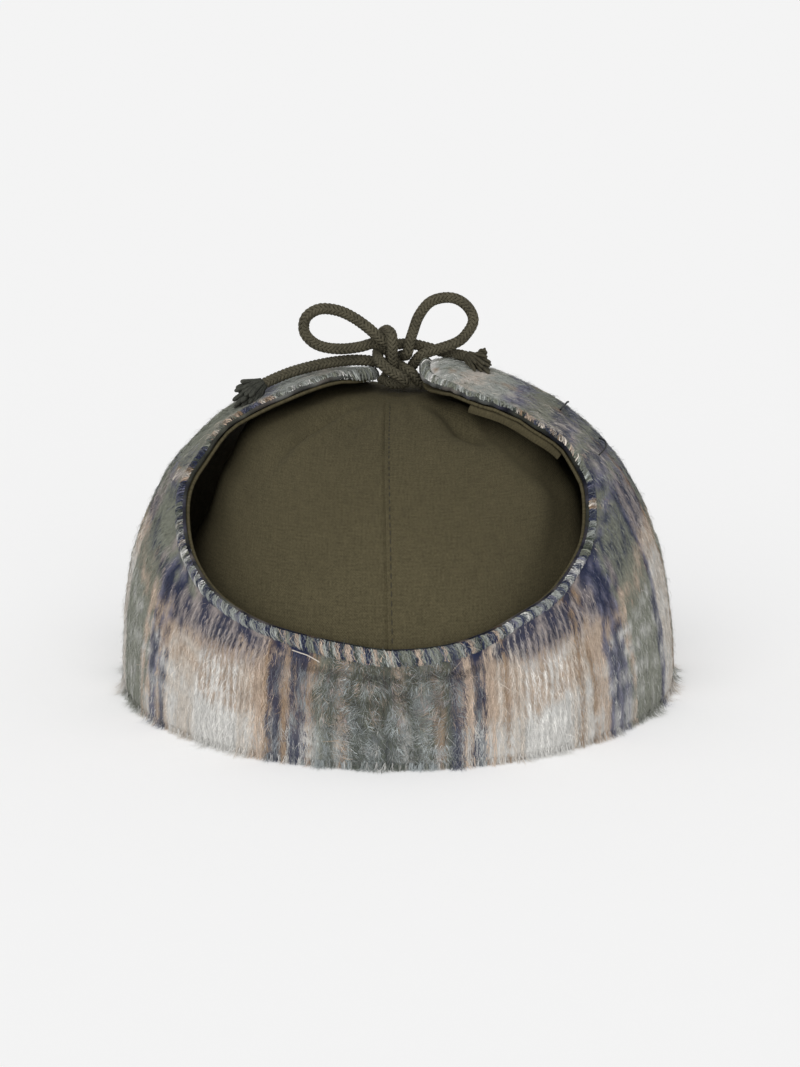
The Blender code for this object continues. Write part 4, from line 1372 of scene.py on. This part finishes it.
def edge_roll():
    """The mohair turned round the free edge: short slanted fibres side by side over a bead."""
    rng = np.random.default_rng(SEED + 3)
    ring = resample(EDGE_PATH, ROLL_PITCH, EDGE_POINTS, closed=True)
    count = len(ring)
    cloth = cloth_place(step_in(ring, np.full(count, 1.0 * MM)))
    plump = tip_share(ring, LEFT_TIP)
    slender = blend(1.0, ROLL_SLENDER, smoothstep(16, 44, np.abs(cloth[:, 0])))
    tops, normals = roll_lines(ring, blend(slender, 1.0, plump), plump)
    along = unit(along_ring(tops[3]))
    where = np.arange(count) * ROLL_PITCH / MM
    dyes = roll_dyes(cloth, where, rng)
    strands = Strands()
    slant = np.linspace(*ROLL_SLANT, len(ROLL)) * MM
    for k in range(count):
        shift = slant * (0.5 + 1.0 * rng.random()) + rng.normal(0, 0.22, len(ROLL)) * MM
        lift = rng.normal(0, 0.16) * MM + 0.14 * MM * math.cos(math.tau * where[k] / YARN_PITCH)
        path = tops[:, k] + along[k] * shift[:, None] + normals[:, k] * lift
        path = path[int(rng.random() < 0.3) : len(ROLL) - int(rng.random() < 0.3)]
        radius = ROLL_YARN * (0.7 + 0.6 * rng.random())
        strands.add(path, radius, 3, dyes[k], 0.8, lay=normals[: len(path), k])
    show(strands.piece("rolled_edge", hair("rolled_yarn")))
    roll_fuzz(tops, normals, along, cloth, rng)


def roll_fuzz(tops, normals, along, cloth, rng):
    """The rolled edge's brushed fibres, which lie across it over its yarns."""
    rows, around = tops.shape[:2]
    place = rng.random(ROLL_FUZZ) * around
    spot = place.astype(int) % around
    start = rng.random(ROLL_FUZZ) * 0.75
    reach = 0.28 + 0.25 * rng.random(ROLL_FUZZ)
    t = np.linspace(0, 1, 4)
    share = np.clip(start[:, None] + reach[:, None] * t, 0, 1) * (rows - 1)
    low = np.minimum(share.astype(int), rows - 2)
    spine, up = (
        blend(lines[low, spot[:, None]], lines[low + 1, spot[:, None]], (share - low)[..., None])
        for lines in (tops, normals)
    )
    up = unit(up)
    slant = (1.0 - 2.0 * share / (rows - 1)) + rng.normal(0, 1.3, ROLL_FUZZ)[:, None] * (t - 0.5)
    spine = spine + along[spot][:, None] * ((slant + (place % 1)[:, None] * 0.4) * MM)[..., None]
    lift = (0.22 + 0.25 * rng.random(ROLL_FUZZ)[:, None] + 0.12 * np.sin(math.pi * t)) * MM
    path = spine + up * lift[..., None]
    facing_way = up.mean(1)
    cross = unit(np.cross(facing_way, unit(path[:, -1] - path[:, 0])))
    across = half_widths(cross, ROLL_FIBRE, len(t), rng)
    dyes = roll_dyes(cloth[spot], place * ROLL_PITCH / MM, rng)
    dyes = haze(dyes, 0.7 * (rng.random(ROLL_FUZZ) < 0.16))
    ribbons("roll_fuzz", path, across, dyes, unit(facing_way), hair("roll_fibre"))


# The hem's loose fibres

HEM_FIBRES = 7000
HEM_FIBRE = 0.2 * MM
HEM_OUT = (3.6, 1.9)  # where the fibres start: out from the gap and by how much more at most, in millimetres
HEM_UP = (0.15, 2.6)


def hem():
    """Fibres that hang from the fold and lie outward on the table."""
    rng = np.random.default_rng(SEED + 8)
    bearing = math.tau * rng.random(HEM_FIBRES)
    places = place_at(bearing, FOLD_FALL)
    gap = stand_off(places, np.full(HEM_FIBRES, CURL_WIDTH))
    cloth = cloth_place(places)
    clump = value_noise(cloth[:, 0] / 5 + 60, 9.0, 41) * value_noise(cloth[:, 0] / 1.5 + 160, 9.0, 42)
    reach = (1.2 + 7.0 * clump) * (0.4 + 0.8 * rng.random(HEM_FIBRES))
    start = rng.random(HEM_FIBRES)
    out = gap / MM + HEM_OUT[0] + HEM_OUT[1] * start
    root = at_rim(bearing, out * MM, (HEM_UP[0] + HEM_UP[1] * start**1.5) * MM)
    outward = unit(at_rim(bearing, 1 * MM, 0) - at_rim(bearing, 0, 0))
    around = np.cross((0.0, 0.0, 1.0), outward)
    head = unit(outward + around * rng.normal(0, 0.7, HEM_FIBRES)[:, None])
    t = np.linspace(0, 1, 4)[None]
    drop = 1 - (1 - t) ** 2
    path = root[:, None] + head[:, None] * (reach[:, None] * t * MM)[..., None]
    path[..., 2] = root[:, None, 2] * (1 - drop) + 0.08 * MM
    across = half_widths(unit(np.cross((0.0, 0.0, 1.0), head)), HEM_FIBRE, 4, rng)
    dyes = veil(cloth, fibre_plaid(cloth, rng), 95, 1.3) * (0.8 + 0.4 * rng.random(HEM_FIBRES))[:, None]
    up = unit(outward + np.array((0.0, 0.0, 1.0)))
    ribbons("hem_fibres", path, across, dyes, up, hair("hem_fibre"))


# The cords

BRAID_YARNS = 6  # in each of the two sets that wind opposite ways
BRAID_PITCH = 8.5 * MM
BRAID_STEP = 0.45 * MM
BRAID_CORE = 1.10 * MM
BRAID_RADIUS = 1.44 * MM  # of the circle that the yarns' middles wind on
BRAID_YARN = 0.55 * MM
BRAID_FLATNESS = 0.62
BRAID_WEAVE = 0.24 * MM  # how far a yarn moves out and in as it passes over and under
YARN_TWIST = 8 * MM
LEFT_END_HEADING = unit(np.array((-0.9, -0.35, -0.62)))  # the way the frayed end points
RIGHT_END_HEADING = unit(np.array((0.75, -0.3, -0.6)))
RIGHT_SPIKE = (((1.2, 0.0, 1.0), 4.5 * MM), ((1.6, 0.0, 0.9), 4.0 * MM), ((1.0, 0.0, 0.9), 3.5 * MM))
FRAY_DARK = (0.034, 0.035, 0.028)
FRAY_YARNS = 34
FRAY_SPREAD = 0.50
FRAY_WIDTH = 1.3 * MM  # the cluster's radius where it leaves the cord
FRAY_ROOT = 2.2 * MM  # how far inside the cord its yarns start


def braided_cord(name, route, node):
    """A round braid, in which each yarn passes over two of those that cross it and under two."""
    path = resample(smooth_path(np.array(KNOT) + np.array(route) * MM), BRAID_STEP)
    tangent, side, other = frames_along(path)
    turn = math.tau * np.arange(len(path)) * BRAID_STEP / BRAID_PITCH
    crossing = BRAID_YARNS * turn / math.pi
    strands = Strands()
    strands.add(path, BRAID_CORE, 8)
    for way in (-1, 1):
        for k in range(BRAID_YARNS):
            beat = np.cos(math.pi / 2 * (2 * k + way * crossing) - math.pi / 4)
            out = BRAID_RADIUS + way * BRAID_WEAVE * beat
            spoke = winding(side, other, way * turn + math.tau * k / BRAID_YARNS)
            strands.add(path + spoke * out[:, None], BRAID_YARN, 5, None, BRAID_FLATNESS, lay=spoke)
    obj = strands.piece(name, braid(name + "_braid", CORD_OLIVE))
    show(obj, node)
    return obj, path


def yarn_end(strands, start, heading, length, radius, curl, rng, spoke, plies):
    """A cut yarn that curls away from the cord's end: a few plies twisted together."""
    t = np.array([0, 0.18, 0.36, 0.54, 0.72, 0.86, 0.94, 0.985, 1.0])
    heading = unit(heading)
    cross = unit(spoke + 0.5 * rng.normal(0, 1, 3))
    line = start + heading * (length * t)[:, None] + cross * (curl * length * t**2)[:, None]
    line[:, 2] -= 0.15 * length * t**2
    tangent, side, other = frames_along(line)
    phase = rng.random() * math.tau
    swell = radius * 0.55 * (1 + 0.5 * t) * (plies > 1)
    size = radius * 0.62 * (1 + 0.35 * t) * np.sqrt(np.clip(1.02 - t**14, 0.05, 1))
    for k in range(plies):
        turn = phase + math.tau * k / plies + 2.2 * math.tau * t * length / YARN_TWIST
        spoke = winding(side, other, turn)
        strands.add(line + spoke * swell[:, None], size, 6)


def frayed_end(name, node, path, heading, length, radius, seed, colour, spikes=()):
    """The cord's end, opened into a cluster of thick yarns that splay from it."""
    rng = np.random.default_rng(SEED + seed)
    tip = path[-1]
    strands = Strands()
    golden = math.pi * (3 - math.sqrt(5))
    side = unit(np.cross(heading, [0, 0, 1.0]))
    other = np.cross(side, heading)
    for k in range(FRAY_YARNS):
        out = math.sqrt((k + 0.5) / FRAY_YARNS)
        spoke = side * math.cos(k * golden) + other * math.sin(k * golden)
        start = tip + spoke * (FRAY_WIDTH * out) - heading * FRAY_ROOT
        aim = heading + spoke * (FRAY_SPREAD * out)
        reach = length * (1.15 - 0.45 * out) * (0.85 + 0.25 * rng.random())
        yarn_end(strands, start, aim, reach, radius, 0.15 * out + rng.normal(0, 0.06), rng, spoke, 1)
    for aim, reach in spikes:
        yarn_end(strands, tip + np.array(aim) * MM, aim, reach, radius, 0.0, rng, side, 2)
    obj = strands.piece(name, braid(name + "_yarn", colour))
    return show(obj, node)


def cords():
    left, left_path = braided_cord("left_cord", LEFT_ROUTE, "cord_left")
    right, right_path = braided_cord("right_cord", RIGHT_ROUTE, "cord_right")
    left_end = frayed_end("left_frayed_end", "cord_end_left", left_path, LEFT_END_HEADING, 10.5 * MM,
                          1.15 * MM, 31, FRAY_DARK)
    right_end = frayed_end("right_frayed_end", "cord_end_right", right_path, RIGHT_END_HEADING, 9.0 * MM,
                           0.75 * MM, 32, times(CORD_OLIVE, 0.8), RIGHT_SPIKE)


# The tape and the loose threads

TAPE_ALONG = (130 * MM, 166 * MM)  # where it starts and ends along the free edge
TAPE_THICKNESS = 0.9 * MM
# Across the tape. Each row is how far inside the free edge it lies, in millimetres, the share of the gap
# there, and how far out from that
TAPE_PROFILE = (
    (10, 1, -1.0), (6, 1, -1.0), (2, 1, -0.9), (0.6, 1, -0.9), (0.0, 1, -1.4),
    (-0.2, 0.84, -1.0), (-0.2, 0.68, -0.8),
)


def tape():
    """The strip sewn beside the right ear's edge. Its outer side stands up between flap and crown."""
    goals = np.linspace(*TAPE_ALONG, 40)
    ring = points_at(EDGE_PATH, EDGE_LENGTHS, goals)
    ahead = points_at(EDGE_PATH, EDGE_LENGTHS, goals + MM) - ring
    edge_gap = stand_off(ring, np.zeros(len(ring)))
    path = smooth_path(TAPE_PROFILE, parts=3)
    slope = unit(np.gradient(path[:, [0, 2]] + path[:, [1, 1]] * (0, 6), axis=0))
    across = np.stack([-slope[:, 1], slope[:, 0]], -1)
    rings = []
    for side in (-0.5, 0.5):
        rows = []
        for (far, share, up), (out, rise) in zip(path, across * side * TAPE_THICKNESS / MM):
            places = step_beside(ring, ahead, (far + out) * MM)
            rows.append(dome(places, edge_gap * share + (up + rise) * MM)[0])
        rings += rows if side < 0 else rows[::-1]
    rows = len(rings)
    faces = ring_faces(rows, len(ring), closed_rows=True, closed_ring=False)
    faces.append(tuple(k * len(ring) for k in range(rows)))
    faces.append(tuple(k * len(ring) + len(ring) - 1 for k in reversed(range(rows))))
    material = cotton("tape_cotton", TAPE_OLIVE, 0.5, 0.7)
    obj = mesh_piece("tape", np.concatenate(rings), faces, material, sharp=60)
    lengths = lengths_along(path[:, [0, 2]])
    wide = np.repeat(np.concatenate([lengths, lengths[::-1]]), len(ring))
    set_uv(obj.data, "Weave", np.stack([np.tile(goals / MM, rows), wide], -1))
    show(fix_normals(obj), "fastening_tape")


# Each row is a place on the flap, as for the free edge, and its height over the cloth in millimetres
STRAIGHT_THREAD = ((32.8, 4.2, 0.9), (32.0, 0.5, 1.1), (31.3, -3.2, 1.1), (30.5, -6.5, 0.6))
CURVED_THREAD = (
    (41.6, -5.2, 0.7), (43.0, -4.6, 1.2), (43.4, -7.0, 1.3), (43.0, -10.0, 1.3), (42.1, -13.5, 0.6),
)
PALE_THREAD = ((-25.2, -71.0, 1.2), (-23.0, -72.0, 2.0), (-20.8, -73.0, 2.2), (-18.2, -74.6, 1.6))


def loose_thread(name, rows, radius, colour):
    rows = smooth_path(rows, parts=6)
    places = rows[:, :2]
    level = stand_off(places, edge_distance(places)) + MOHAIR_BACK + MOHAIR_THICKNESS + rows[:, 2] * MM
    strands = Strands()
    strands.add(dome(places, level)[0], radius, 6)
    show(strands.piece(name, thread(name, colour)))


def loose_threads():
    """The stitches that hold the ear flap's pleat, and a loose yarn under the roll."""
    loose_thread("straight_thread", STRAIGHT_THREAD, 0.34 * MM, THREAD_BLACK)
    loose_thread("curved_thread", CURVED_THREAD, 0.30 * MM, THREAD_BLACK)
    loose_thread("pale_thread", PALE_THREAD, 0.17 * MM, times(CREAM, 0.8))


# The studio

SKY = 0.55
FLOOR_HALF = 9.0
FLOOR_COLOUR = (0.82, 0.82, 0.82)
FLOOR_GLOW = 0.23  # the lit table's own light
LIGHT_AZIMUTH = math.radians(-4)
LIGHT_ELEVATION = math.radians(30)
LIGHT_STRENGTH = 1.7
LIGHT_SOFTNESS = math.radians(70)


def look_from(obj, azimuth, elevation):
    """Turns a light or a camera to look at the cap from this side. Gives the way back to it."""
    level = math.cos(elevation)
    back = Vector((math.sin(azimuth) * level, -math.cos(azimuth) * level, math.sin(elevation)))
    obj.rotation_mode = "QUATERNION"
    obj.rotation_quaternion = (-back).to_track_quat("-Z", "Y")
    bpy.context.scene.collection.objects.link(obj)
    return back


def front_light():
    data = bpy.data.lights.new("front_light", "SUN")
    data.energy = LIGHT_STRENGTH
    data.angle = LIGHT_SOFTNESS
    obj = bpy.data.objects.new("front_light", data)
    look_from(obj, LIGHT_AZIMUTH, LIGHT_ELEVATION)


def camera():
    data = bpy.data.cameras.new("camera")
    data.lens = LENS
    data.sensor_width = SENSOR
    data.clip_start = 0.05
    data.clip_end = 40.0
    obj = bpy.data.objects.new("camera", data)
    obj.location = VIEW_TARGET + look_from(obj, VIEW_AZIMUTH, VIEW_ELEVATION) * VIEW_DISTANCE
    bpy.context.scene.camera = obj


def studio():
    scene = bpy.context.scene
    scene.view_settings.view_transform = "Standard"
    world = bpy.data.worlds.new("studio_light")
    world.use_nodes = True
    background = world.node_tree.nodes["Background"]
    background.inputs["Color"].default_value = (1.0, 1.0, 1.0, 1.0)
    background.inputs["Strength"].default_value = SKY
    scene.world = world
    corners = [(x * FLOOR_HALF, y * FLOOR_HALF, 0) for x, y in ((-1, -1), (1, -1), (1, 1), (-1, 1))]
    mesh = bpy.data.meshes.new("floor")
    mesh.from_pydata(corners, [], [(0, 1, 2, 3)])
    mesh.materials.append(paper("floor_paper", FLOOR_COLOUR))
    floor = bpy.data.objects.new("floor", mesh)
    scene.collection.objects.link(floor)
    front_light()


# Building the cap, its cords and the studio


camera()
studio()
cords()
crown()
seam_stitches()
facing()
mohair_points = mohair_cloth()
nap(mohair_points)
edge_roll()
hem()
tape()
loose_threads()
